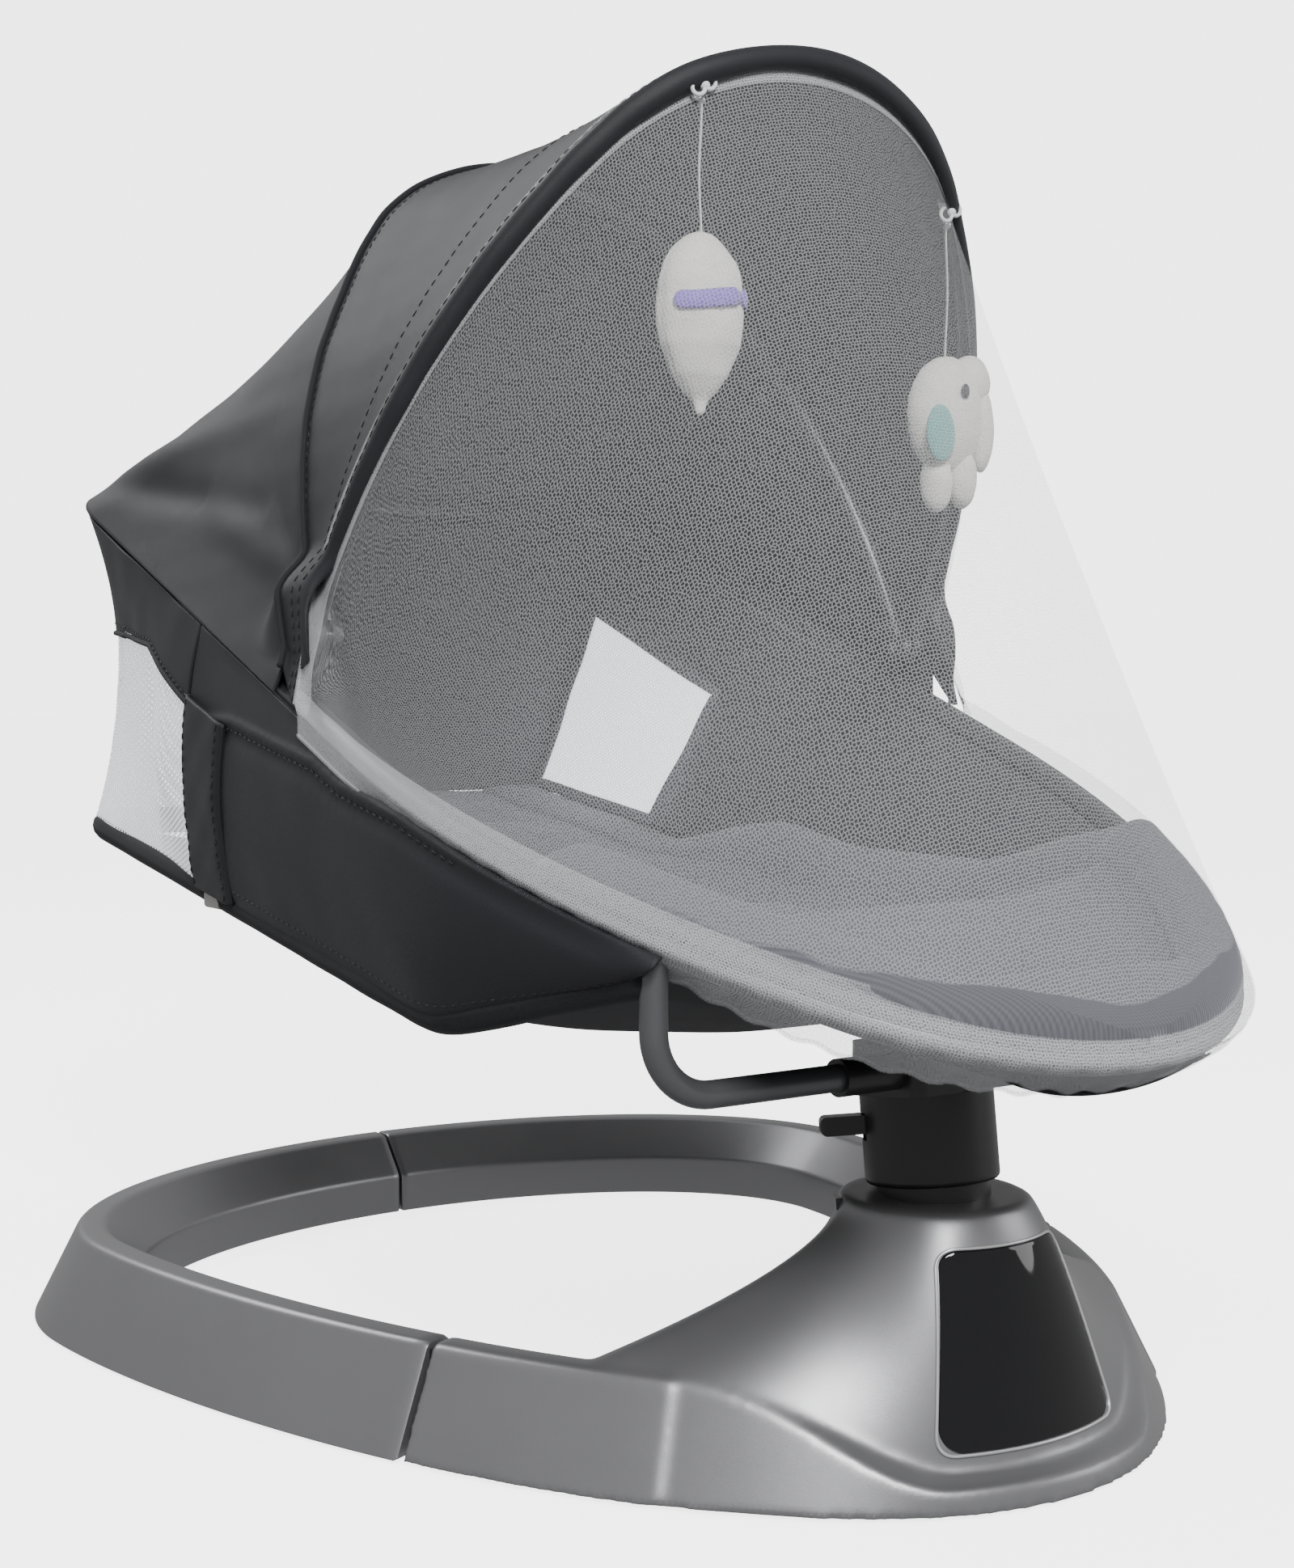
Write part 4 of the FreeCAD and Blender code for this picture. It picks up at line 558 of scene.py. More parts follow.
def cloth_finish(name, colour, pitch, twill=False, depth=0.00018, contrast=0.22, sheen=0.25, roughness=0.72):
    """Woven cloth: threads in colour and height, and slow fading and pressing marks over them."""
    finish = Finish(name, colour, roughness)
    threads = finish.weave(pitch, twill)
    fading = finish.noise(14.0, 4.0, 0.65)
    mixed = finish.maths("MULTIPLY_ADD", threads, 0.6, finish.maths("MULTIPLY", fading, 0.4))
    finish.tint(mixed, 1 - contrast, 1 + contrast)
    finish.rough(fading, roughness * 0.9, min(1.0, roughness * 1.12))
    finish.bump(threads, depth)
    finish.shader.inputs["Sheen Weight"].default_value = sheen
    finish.shader.inputs["Sheen Roughness"].default_value = 0.45
    finish.shader.inputs["Sheen Tint"].default_value = (0.75, 0.77, 0.82, 1.0)
    finish.shader.inputs["Specular IOR Level"].default_value = 0.3
    return finish.material


def net_finish(name, colour, cell, thread, least, most, roughness=0.7):
    """Fine net: threads lie on the borders of small irregular cells, and the cells let sight through."""
    finish = Finish(name, colour, roughness)
    cells = finish.tree.nodes.new("ShaderNodeTexVoronoi")
    cells.feature = "DISTANCE_TO_EDGE"
    cells.voronoi_dimensions = "2D"
    cells.inputs["Scale"].default_value = 1 / cell
    cells.inputs["Randomness"].default_value = 0.55
    finish.link(finish.places.outputs["UV"], cells.inputs["Vector"])
    cover = finish.tree.nodes.new("ShaderNodeMapRange")
    cover.inputs["From Min"].default_value = thread * 0.5
    cover.inputs["From Max"].default_value = thread
    cover.inputs["To Min"].default_value = most
    cover.inputs["To Max"].default_value = least
    finish.link(cells.outputs["Distance"], cover.inputs["Value"])
    finish.link(cover.outputs["Result"], finish.shader.inputs["Alpha"])
    finish.tint(finish.noise(30.0), 0.94, 1.04)
    finish.shader.inputs["Sheen Weight"].default_value = 0.3
    return finish.material


def knit_finish(name, colour, pitch, hole, least):
    """Open knitted mesh: diamond holes between crossing bands of thread, cut out by alpha."""
    finish = Finish(name, colour, 0.6)
    split = finish.tree.nodes.new("ShaderNodeSeparateXYZ")
    finish.link(finish.places.outputs["UV"], split.inputs[0])
    total = finish.maths("ADD", split.outputs[0], split.outputs[1])
    apart = finish.maths("SUBTRACT", split.outputs[0], split.outputs[1])
    one = finish.maths("ABSOLUTE", finish.maths("SINE", finish.maths("MULTIPLY", total, math.pi / pitch)))
    two = finish.maths("ABSOLUTE", finish.maths("SINE", finish.maths("MULTIPLY", apart, math.pi / pitch)))
    openness = finish.maths("MULTIPLY", one, two)
    cover = finish.tree.nodes.new("ShaderNodeMapRange")
    cover.inputs["From Min"].default_value = hole - 0.12
    cover.inputs["From Max"].default_value = hole + 0.12
    cover.inputs["To Min"].default_value = 1.0
    cover.inputs["To Max"].default_value = least
    finish.link(openness, cover.inputs["Value"])
    finish.link(cover.outputs["Result"], finish.shader.inputs["Alpha"])
    finish.tint(finish.noise(60.0), 0.93, 1.05)
    finish.bump(openness, 0.0004)
    return finish.material


def plush_finish(name, colour):
    """Soft short pile: two sizes of tangled fibre in height and tone, under a strong sheen."""
    finish = Finish(name, colour, 0.9)
    fibres = finish.noise(700.0, 4.0, 0.7)
    tufts = finish.noise(120.0, 3.0, 0.6)
    finish.tint(tufts, 0.9, 1.06)
    finish.bump(finish.maths("MULTIPLY_ADD", fibres, 0.6, finish.maths("MULTIPLY", tufts, 0.4)), 0.0009)
    finish.shader.inputs["Sheen Weight"].default_value = 0.6
    finish.shader.inputs["Sheen Roughness"].default_value = 0.5
    return finish.material


FINISHES = {}


def finishes(colours):
    """Every finish by name, made once."""
    if not FINISHES:
        FINISHES.update({
            "silver": solid_finish("silver_paint", colours.silver, 0.36, 0.72, 2600.0, 0.00005, 0.07),
            # Painted highlight: this lighter silver, used only on the panel trim, stands in for the bright edge
            # highlights round the control panel's recess.
            "painted_highlight": solid_finish("painted_highlight_silver", (0.62, 0.62, 0.63), 0.3, 0.6, 1500.0, 0.00003, 0.05),
            "gloss": solid_finish("gloss_black", colours.gloss, 0.05, 0.0, 300.0, 0.000002, 0.15),
            "black": solid_finish("black_plastic", colours.black, 0.34, 0.0, 1500.0, 0.00003, 0.15),
            "clip": solid_finish("grey_clip", colours.clip, 0.42, 0.2, 1500.0, 0.00004, 0.08),
            "tube": solid_finish("tube_paint", colours.tube, 0.38, 0.6, 1800.0, 0.00003, 0.08),
            "steel": solid_finish("ground_steel", (0.55, 0.55, 0.57), 0.3, 1.0, 1200.0, 0.00002, 0.08),
            "bronze": solid_finish("sintered_bronze", (0.45, 0.31, 0.14), 0.45, 1.0, 1600.0, 0.00006, 0.12),
            "nylon": solid_finish("gear_nylon", (0.78, 0.77, 0.72), 0.42, 0.0, 900.0, 0.00004, 0.05),
            "board": solid_finish("circuit_board", (0.02, 0.16, 0.07), 0.3, 0.0, 500.0, 0.00003, 0.15, 0.4),
            "rubber": solid_finish("rubber", (0.02, 0.02, 0.02), 0.8, 0.0, 1100.0, 0.00008, 0.12),
            "charcoal": cloth_finish("charcoal_polyester", colours.charcoal, 0.0009, False, 0.00008, 0.16,
                                     0.05, 0.52),
            "welt": cloth_finish("welt_cloth", [c * 0.9 for c in colours.charcoal], 0.0009, True, 0.0001,
                                 0.15, 0.06),
            "thread": cloth_finish("sewing_thread", [c * 0.45 for c in colours.charcoal], 0.0008, True,
                                   0.0001),
            "lining": cloth_finish("lining_cloth", colours.lining, 0.0011, False, 0.00014, 0.16, 0.25),
            "pad": cloth_finish("pad_twill", colours.pad, 0.0021, True, 0.00030, 0.30, 0.3),
            "pad_thread": cloth_finish("pad_thread", [c * 0.6 for c in colours.pad], 0.0008, True, 0.0001),
            "net": net_finish("net", colours.net, 0.0019, 0.20, 0.02, 0.14),
            "hem": net_finish("net_hem", colours.net, 0.0015, 0.26, 0.05, 0.24),
            "knit": knit_finish("white_knit", colours.net, 0.0042, 0.52, 0.05),
            "window": knit_finish("window_knit", colours.net, 0.0036, 0.72, 0.55),
            "plush": plush_finish("plush", colours.plush),
            "ear": plush_finish("ear_plush", colours.ear),
            "ribbon": cloth_finish("ribbon", colours.ribbon, 0.0008, False, 0.0001, 0.12, 0.4, 0.5),
            "tape": cloth_finish("white_tape", (0.8, 0.8, 0.8), 0.0008, True, 0.0001, 0.1, 0.2),
            "eye": solid_finish("embroidered_eye", (0.03, 0.03, 0.035), 0.5, 0.0, 2500.0, 0.0001, 0.2),
            "patch": cloth_finish("patch_cloth", (0.55, 0.57, 0.62), 0.0008, True, 0.00012, 0.12, 0.3),
        })
        # Painted light: the side windows and the rear knit glow by emission. This stands in for bright daylight
        # seen through the open mesh; they are no lamps.
        for name, painted_glow in (("window", 1.3), ("knit", 0.5)):
            shader = FINISHES[name].node_tree.nodes["Principled BSDF"]
            shader.inputs["Emission Color"].default_value = (0.95, 0.97, 1.0, 1.0)
            shader.inputs["Emission Strength"].default_value = painted_glow
    return FINISHES


def repaint(node, material):
    """Gives a CAD node its finish."""
    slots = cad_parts[node].material_slots
    if not slots:
        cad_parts[node].data.materials.append(material)
    for place in slots:
        place.material = material


# ---------------------------------------------------------------- base
def ring_outline(angle, inset, sizes):
    """The ring's plan line: W cos t across, and along Y an ellipse behind the widest place and a rounder
    power curve before it, moved inwards along its normal by inset."""
    half = -LEFT_ARC_LOW[0]
    rear = LEFT_ARC_HIGH[1] - sizes.ring_widest_y

    def place(turn):
        lift = np.sin(turn)
        front = np.sign(lift) * np.abs(lift) ** (2 / 1.555) * sizes.ring_front
        return np.stack([half * np.cos(turn), sizes.ring_widest_y
                         + np.where(lift >= 0, rear * lift, front)], axis=-1)

    step = 1e-3
    along = unit(place(angle + step) - place(angle - step))
    inward = np.stack([-along[..., 1], along[..., 0]], axis=-1)
    return place(angle) + inset[..., None] * inward


def ring_section(sizes, steps=6):
    """The ring's section as (inset, height), flared outside and creased inside, each corner a parabola
    between the points one edge radius before and after it."""
    low, high = 0.0015, float(LEFT_ARC_HIGH[2])
    base = sizes.ring_base_width
    sharp = np.array([[0.0, low], [0.025, high], [0.040, high], [base, low + 0.025], [base, low]])
    radii = np.array([0.0012, sizes.ring_edge * 1.6, sizes.ring_edge * 1.4, sizes.ring_edge, 0.0012])[:, None]
    before = sharp + unit(np.roll(sharp, 1, axis=0) - sharp) * radii
    after = sharp + unit(np.roll(sharp, -1, axis=0) - sharp) * radii
    t = np.linspace(0, 1, steps)[None, :, None]
    bent = (1 - t) ** 2 * before[:, None] + 2 * t * (1 - t) * sharp[:, None] + t ** 2 * after[:, None]
    return bent.reshape(-1, 2)


def ring_arc(start, end, sizes, count=150):
    """One arc of the ring: the section carried along the plan line between two angles, with a small
    chamfer at each end and ends that close on the section's middle."""
    section = ring_section(sizes)
    middle = section.mean(axis=0)
    chamfer = 0.004 * (end - start) / abs(end - start)
    turns = np.concatenate([[start, start], np.linspace(start + chamfer, end - chamfer, count), [end, end]])
    shrink = np.ones(count + 4)
    shrink[[0, -1]] = 0.0
    shrink[[1, -2]] = 0.965
    profile = middle + (section - middle)[None] * shrink[:, None, None]
    angles = np.broadcast_to(turns[:, None], profile.shape[:2])
    plan = ring_outline(angles, profile[..., 0], sizes)
    points = np.concatenate([plan, profile[..., 1:]], axis=-1)
    uv = np.stack([angles * 0.3, profile[..., 1]], axis=-1).reshape(-1, 2)
    return points.reshape(-1, 3), grid_faces(count + 4, len(section), False, True), uv


def outline_reach(angles, insets, sizes):
    """Distance from the dome's centre to the ring's outline in each direction, by halving an interval
    forty times for the whole array."""
    near = np.zeros_like(angles)
    beyond = np.full_like(angles, 0.5)
    width = -LEFT_ARC_LOW[0] - insets
    front = sizes.ring_front - insets
    for _ in range(40):
        middle = (near + beyond) / 2
        x = middle * np.cos(angles) / width
        y = (sizes.ring_widest_y - sizes.dome_centre_y - middle * np.sin(angles)) / front
        inside = x * x + np.abs(y) ** 1.555 < 1
        near, beyond = np.where(inside, middle, near), np.where(inside, beyond, middle)
    return near


def dome_reach(angles, heights, sizes):
    """Distance from the dome's centre to its skin: a leaning wall, a ledge round the front, and a dome
    whose reach shrinks to the collar with a power of the height left above it."""
    from_front = np.abs(np.degrees(np.arctan2(np.cos(angles), -np.sin(angles))))
    arm = smooth_step(from_front, 35, 100)
    wall_height = 0.012 + 0.038 * arm
    wall_lean = 0.003 + 0.024 * arm
    ledge_rise = 0.0035 * (1 - arm)
    lean = wall_lean * np.minimum(1, heights / wall_height)
    ledge = 0.014 * (1 - arm) * smooth_step(heights, wall_height, wall_height + ledge_rise + 0.00001)
    reach = outline_reach(angles, 0.001 + lean + ledge, sizes)
    rear = np.maximum(np.sin(angles), 0.05)
    wall = (sizes.rear_wall_y - sizes.dome_centre_y) / rear
    reach = np.where(np.sin(angles) > 0.05, (reach ** -8 + wall ** -8) ** -0.125, reach)
    power = 0.72 + 0.95 * smooth_step(from_front, 30, 112)
    top = HOUSING_HIGH[2]
    drop = np.clip((top - heights) / (top - wall_height - ledge_rise), 0, 1)
    return 0.045 + (reach - 0.045) * drop ** power


def dome_shape(sizes, columns=420):
    """The housing's dome as rings of dome_reach at rising heights, closed by a disc below and above."""
    top = HOUSING_HIGH[2]
    heights = np.concatenate([[0.0016], np.linspace(0.002, 0.0115, 8), np.linspace(0.012, 0.0165, 12),
                              np.linspace(0.0175, top - 0.003, 64), [top - 0.0015, top - 0.0005, top]])
    angles = np.arange(columns) * 2 * math.pi / columns
    grid, level = np.meshgrid(angles, heights)
    reach = dome_reach(grid, level, sizes)
    reach = np.concatenate([reach[:1] * 0, reach, reach[-1:] * 0])
    level = np.concatenate([level[:1], level, level[-1:]])
    grid = np.concatenate([grid[:1], grid, grid[-1:]])
    points = np.stack([reach * np.cos(grid), sizes.dome_centre_y + reach * np.sin(grid), level], axis=-1)
    uv = np.stack([grid * 0.1, level], axis=-1).reshape(-1, 2)
    return points.reshape(-1, 3), grid_faces(len(points), columns, False, True), uv


def dome_front(x, z, sizes, proud):
    """Points of the dome's front skin at given x and z, found by repeated correction of the direction,
    and moved out by proud."""
    angles = np.full_like(x, -math.pi / 2)
    for _ in range(25):
        angles = -np.arccos(np.clip(x / dome_reach(angles, z, sizes), -1, 1))
    reach = dome_reach(angles, z, sizes) + proud
    return np.stack([reach * np.cos(angles), sizes.dome_centre_y + reach * np.sin(angles), z], axis=1)


def finished(piece):
    """Applies a piece's modifiers, so that its mesh is final."""
    graph = bpy.context.evaluated_depsgraph_get()
    mesh = bpy.data.meshes.new_from_object(piece.evaluated_get(graph))
    old = piece.data
    piece.modifiers.clear()
    piece.data = mesh
    bpy.data.meshes.remove(old)
    mesh.name = piece.name
    return piece


def panel_outline(grow, count=240):
    """The control panel's outline seen from the front: a trapezoid with corners rounded by parabolas."""
    low, high = corners("control_panel")
    bottom, top = low[2] - grow, high[2] + grow
    sharp = np.array([[-0.054 - grow, bottom], [0.054 + grow, bottom], [0.035 + grow, top],
                      [-0.035 - grow, top]])
    reach = 0.0095
    before = sharp + unit(np.roll(sharp, 1, axis=0) - sharp) * reach
    after = sharp + unit(np.roll(sharp, -1, axis=0) - sharp) * reach
    t = np.linspace(0, 1, 12)[None, :, None]
    bent = ((1 - t) ** 2 * before[:, None] + 2 * t * (1 - t) * sharp[:, None] + t ** 2
            * after[:, None]).reshape(-1, 2)
    line = evenly(np.concatenate([bent, bent[:1]]), count + 1)[:-1]
    return line[:, 0], line[:, 1]


class SWING_OT_base(bpy.types.Operator):
    """Make the floor ring and the motor housing, and finish their small parts"""
    bl_idname = "swing.base"
    bl_label = "Base"

    def execute(self, context):
        sizes, finish = context.scene.swing_sizes, finishes(context.scene.swing_colours)
        share = (sizes.ring_widest_y - sizes.arm_joint_y) / sizes.ring_front
        joint = math.asin(share ** (1.555 / 2))
        rear_gap = sizes.seam_gap / 2 / -LEFT_ARC_LOW[0]
        side = ring_outline(np.array([joint, joint + 0.01]) + math.pi, np.zeros(2), sizes)
        side_gap = 0.01 * sizes.seam_gap / 2 / float(np.linalg.norm(side[1] - side[0]))
        spans = {"left_base_arc": (math.pi / 2 + rear_gap, math.pi + joint - side_gap),
                 "right_base_arc": (-joint + side_gap, math.pi / 2 - rear_gap)}
        for node, (start, end) in spans.items():
            arc = add_piece(node + "_skin", ring_arc(start, end, sizes), finish["silver"],
                            "base")
            arc.data.set_sharp_from_angle(angle=math.radians(50))
            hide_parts(node)
        reach = 0.30
        arms = [ring_arc(math.pi + joint + side_gap, math.pi + joint + side_gap + reach, sizes, 60),
                ring_arc(-joint - side_gap - reach, -joint - side_gap, sizes, 60)]
        housing = add_piece("housing_skin", joined([dome_shape(sizes)] + arms), finish["silver"])
        remesh = housing.modifiers.new("skin", "REMESH")
        remesh.mode = "VOXEL"
        remesh.voxel_size = 0.0021
        soften = housing.modifiers.new("soften", "SMOOTH")
        soften.factor = 0.5
        soften.iterations = 7
        finished(housing)
        housing.data.polygons.foreach_set("use_smooth", np.ones(len(housing.data.polygons), bool))
        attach(housing, "base")
        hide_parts("motor_housing")
        # The trim round the control panel is a thin tube of lighter silver: a painted highlight along the recess
        # edge.
        x, z = panel_outline(0.0009)
        trim = tube(dome_front(x, z, sizes, 0.0004), 0.0008, 8, np.array([0.0, 1.0, 0.0]), closed=True)
        add_piece("panel_trim", trim, finish["painted_highlight"], "base")
        panel = clean_copy("control_panel", "panel_glass", finish["gloss"], "base", 40.0)
        bevel = panel.modifiers.new("edge", "BEVEL")
        bevel.width = 0.0005
        bevel.segments = 2
        bevel.limit_method = "ANGLE"
        for node in ("ring_connectors", "swing_stop", "housing_bottom_cover", "lower_bearing_seat",
                     "upper_bearing_seat", "motor_cradle", "gap_ring", "loudspeaker", "power_inlet"):
            repaint(node, finish["black"])
        for node in ("cover_screws", "swing_shaft", "gearmotor"):
            repaint(node, finish["steel"])
        for node in ("lower_bearing", "upper_bearing"):
            repaint(node, finish["bronze"])
        for node in ("sector_gear", "drive_pinion"):
            repaint(node, finish["nylon"])
        for node in ("control_board", "panel_board"):
            repaint(node, finish["board"])
        repaint("rubber_feet", finish["rubber"])
        return {"FINISHED"}


class SWING_OT_carrier(bpy.types.Operator):
    """Finish the post, the release lever and the seat's tubes, clips and hubs"""
    bl_idname = "swing.carrier"
    bl_label = "Post and tubes"

    def execute(self, context):
        finish = finishes(context.scene.swing_colours)
        for node in ("bracket_tube", "seat_rim_tube", "lower_tube", "front_hoop", "mid_hoop"):
            repaint(node, finish["tube"])
        for node in ("post_sleeve", "release_lever", "bracket_sleeves", "seat_mount_block", "canopy_hubs"):
            repaint(node, finish["black"])
        for node in ("lever_pin", "canopy_pins", "toy_a_hook", "toy_b_hook"):
            repaint(node, finish["steel"])
        repaint("frame_clips", finish["clip"])
        return {"FINISHED"}


# ---------------------------------------------------------------- canopy
def pulled(first, second, rows, sag):
    """Cloth between two lines: straight lines from first to second, drawn towards the seat's middle by
    sag times the parabola 4v(1 - v)."""
    v = np.linspace(0, 1, rows)[:, None, None]
    points = first[None] * (1 - v) + second[None] * v
    return points + unit(HEART - points) * (4 * v * (1 - v) * sag)


def with_ends(line, foot, count):
    """A hoop's line led on at both sides to a foot point and its mirror image, and rounded there."""
    foot = np.asarray(foot)
    whole = np.concatenate([[foot * [-1, 1, 1]], line, [foot]])
    return softened(whole, 0.010, count)


def canopy_grid(lines, columns=241):
    """The canopy's outer face: it wraps the front hoop, runs to the middle hoop and down to the head of
    the rim, with folds where it gathers at the rear corners and at the pivots."""
    sizes = lines.sizes
    grow = sizes.hoop_radius + 0.003
    side = lines.rim_half + sizes.rim_radius + 0.0045
    front = with_ends(lines.hoop("front_hoop", grow, 0.030, columns), (side, 0.246, 0.352), columns)
    middle = with_ends(lines.hoop("mid_hoop", grow, 0.040, columns), (side - 0.002, 0.262, 0.372), columns)
    head = lines.rim_part(sizes.rim_radius + 0.0035, PIVOT[1] + 0.006, columns, 0.001, foot=False)
    core = with_ends(lines.hoop("front_hoop", 0.0, 0.030, columns), (side - 0.0065, 0.246, 0.352), columns)
    outward = unit(front - core)
    back = unit(middle - front)
    turn = np.linspace(-0.2, 0.5, 7)[:-1, None, None] * math.pi
    forward = unit(np.cross(np.gradient(core, axis=0), outward))
    forward = forward * np.sign(-np.sum(forward * back, axis=1, keepdims=True))
    wrap = core + grow * (np.sin(turn) * outward + np.cos(turn) * forward)
    over = np.abs(np.linspace(-1, 1, columns))[None, :, None]
    first = pulled(front, middle, 70, 0.007 * (1 - over[0] ** 4))
    second = pulled(middle, head, 90, 0.010 * (1 - over[0] ** 4))
    points = np.concatenate([wrap, first, second[1:]])
    normals = grid_normals(points)
    lift = np.zeros(points.shape[:2])
    for sign in (-1, 1):
        corner = np.array([sign * (lines.rim_half - 0.004), lines.head[1] - 0.010, lines.head[2] + 0.004])
        pivot = np.array([sign * 0.205, PIVOT[1] + 0.02, PIVOT[2] + 0.03])
        ends = [((0.190, 0.36, 0.52), 0.016, 0.0050), ((0.17, 0.37, 0.585), 0.013, -0.0045),
                ((0.13, 0.385, 0.635), 0.016, 0.0045), ((0.198, 0.335, 0.46), 0.011, -0.0035),
                ((0.06, 0.40, 0.66), 0.018, -0.0035)]
        for (x, y, z), width, height in ends:
            lift += height * ridge(points, corner, (sign * x, y, z), width)
        for (x, y, z), width, height in (((0.20, 0.42, 0.47), 0.012, 0.0028),
                                         ((0.20, 0.36, 0.50), 0.009, -0.0025)):
            lift += height * ridge(points, pivot, (sign * x, y, z), width)
    lift += 0.0011 * ripple(points, 0.11, 3) + 0.0004 * ripple(points, 0.035, 4)
    points = points + normals * lift[..., None]
    hub = 1 - smooth_step(np.linalg.norm(points[..., 1:] - PIVOT[1:], axis=-1), 0.020, 0.050)
    outer = corners("canopy_hubs")[1][0] + 0.004
    points[..., 0] += np.sign(points[..., 0]) * np.maximum(0, outer - np.abs(points[..., 0])) * hub
    return points, front, head


class SWING_OT_canopy(bpy.types.Operator):
    """Make the canopy cloth with its piping and stitching"""
    bl_idname = "swing.canopy"
    bl_label = "Canopy"

    def execute(self, context):
        sizes, finish = context.scene.swing_sizes, finishes(context.scene.swing_colours)
        lines = Lines(sizes)
        points, front, head = canopy_grid(lines)
        shape = thick_sheet(points, sizes.fabric)
        canopy = add_piece("canopy_cloth", shape, finish["charcoal"])
        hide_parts("canopy_fabric")
        wrap_rows, first_rows = 6, 70
        normals = grid_normals(points)
        seam_row = wrap_rows + first_rows - 1
        dash_row = wrap_rows + 24
        piping = tube(points[seam_row] + normals[seam_row] * sizes.piping_radius * 0.6,
                      sizes.piping_radius, 10, UP)
        welt = add_piece("canopy_piping", piping, finish["welt"])
        rows = [stitches(points[row] + normals[row] * 0.0002, normals[row], sizes.stitch_pitch)
                for row in (dash_row, seam_row - 2, seam_row + 2, wrap_rows + 3)]
        sewing = add_piece("canopy_stitches", joined(rows), finish["thread"])
        for piece in (canopy, welt, sewing):
            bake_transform(piece)
        return {"FINISHED"}


# ---------------------------------------------------------------- shell
WALL_COLUMNS = 361
SIDE_SHARE = 0.4
BAND_Y = np.array([0.330, 0.365, 0.459, 0.56])
BAND_Z = np.array([0.330, 0.346, 0.391, 0.400])
SEAM_Y = np.array([0.000, 0.035, 0.098, 0.144, 0.204, 0.231, 0.330])
SEAM_Z = np.array([0.250, 0.264, 0.285, 0.300, 0.313, 0.323, 0.342])
STRAP_LOW = (0.345, 0.398)
STRAP_HIGH = (0.318, 0.368)


class Wall:
    """The outer wall between an upper line under the rim and a lower line on the lower tube. A place on
    it is (column, share of the way down). The lines are matched by distance, side by side and head to
    head. The wall bulges a little along the sides and is drawn in round the rear corners."""

    def __init__(self, lines):
        sizes = lines.sizes
        upper = lines.rim_part(sizes.rim_radius + 0.0025, -0.004, 1800, -0.0015, foot=False)
        lower = lines.lower_line(0.0072, 0.007, 1800)
        side = int(WALL_COLUMNS * SIDE_SHARE)
        rows = []
        for line in (upper, lower):
            rear = line[:, 1].max() - 0.075
            left = line[(line[:, 0] < 0) & (line[:, 1] <= rear)]
            right = line[(line[:, 0] > 0) & (line[:, 1] <= rear)]
            back = line[line[:, 1] > rear]
            rows.append(np.concatenate([evenly(left, side), evenly(back, WALL_COLUMNS - 2 * side),
                                        evenly(right, side)]))
        self.top, self.low = rows
        self.last = WALL_COLUMNS - 1
        self.inward = 0.008 - 0.026 * smooth_step(self.top[:, 1], 0.40, 0.57)

    def column_at(self, y, line):
        """The left side's column where a line reaches a given Y."""
        side = int(WALL_COLUMNS * SIDE_SHARE)
        return np.interp(y, line[:side, 1], np.arange(side))

    def share_at(self, height):
        """The share of the way down at which each column reaches a given height."""
        return np.clip((self.top[:, 2] - height) / (self.top[:, 2] - self.low[:, 2]), 0, 1)

    def at(self, column, share):
        """Points of the wall: a straight line from top to low, plus the parabola 4t(1 - t) outwards."""
        column, share = np.broadcast_arrays(np.asarray(column, float), np.asarray(share, float))
        index = np.arange(WALL_COLUMNS)
        top = np.stack([np.interp(column, index, self.top[:, k]) for k in range(3)], axis=-1)
        low = np.stack([np.interp(column, index, self.low[:, k]) for k in range(3)], axis=-1)
        bulge = np.interp(column, index, self.inward) * 4 * share * (1 - share)
        points = top * (1 - share[..., None]) + low * share[..., None]
        away = (points - HEART) * [1, 1, 0]
        return points + unit(away) * bulge[..., None]


def seam_line(grid, normals, share, rows, lift):
    """Points of a grid along a line given as a share of the way down for each column."""
    place = np.clip(share * (rows - 1), 0, rows - 1.001)
    index = place.astype(int)
    part = (place - index)[:, None]
    column = np.arange(grid.shape[1])
    line = grid[index, column] * (1 - part) + grid[index + 1, column] * part
    return line + normals[index, column] * lift, normals[index, column]


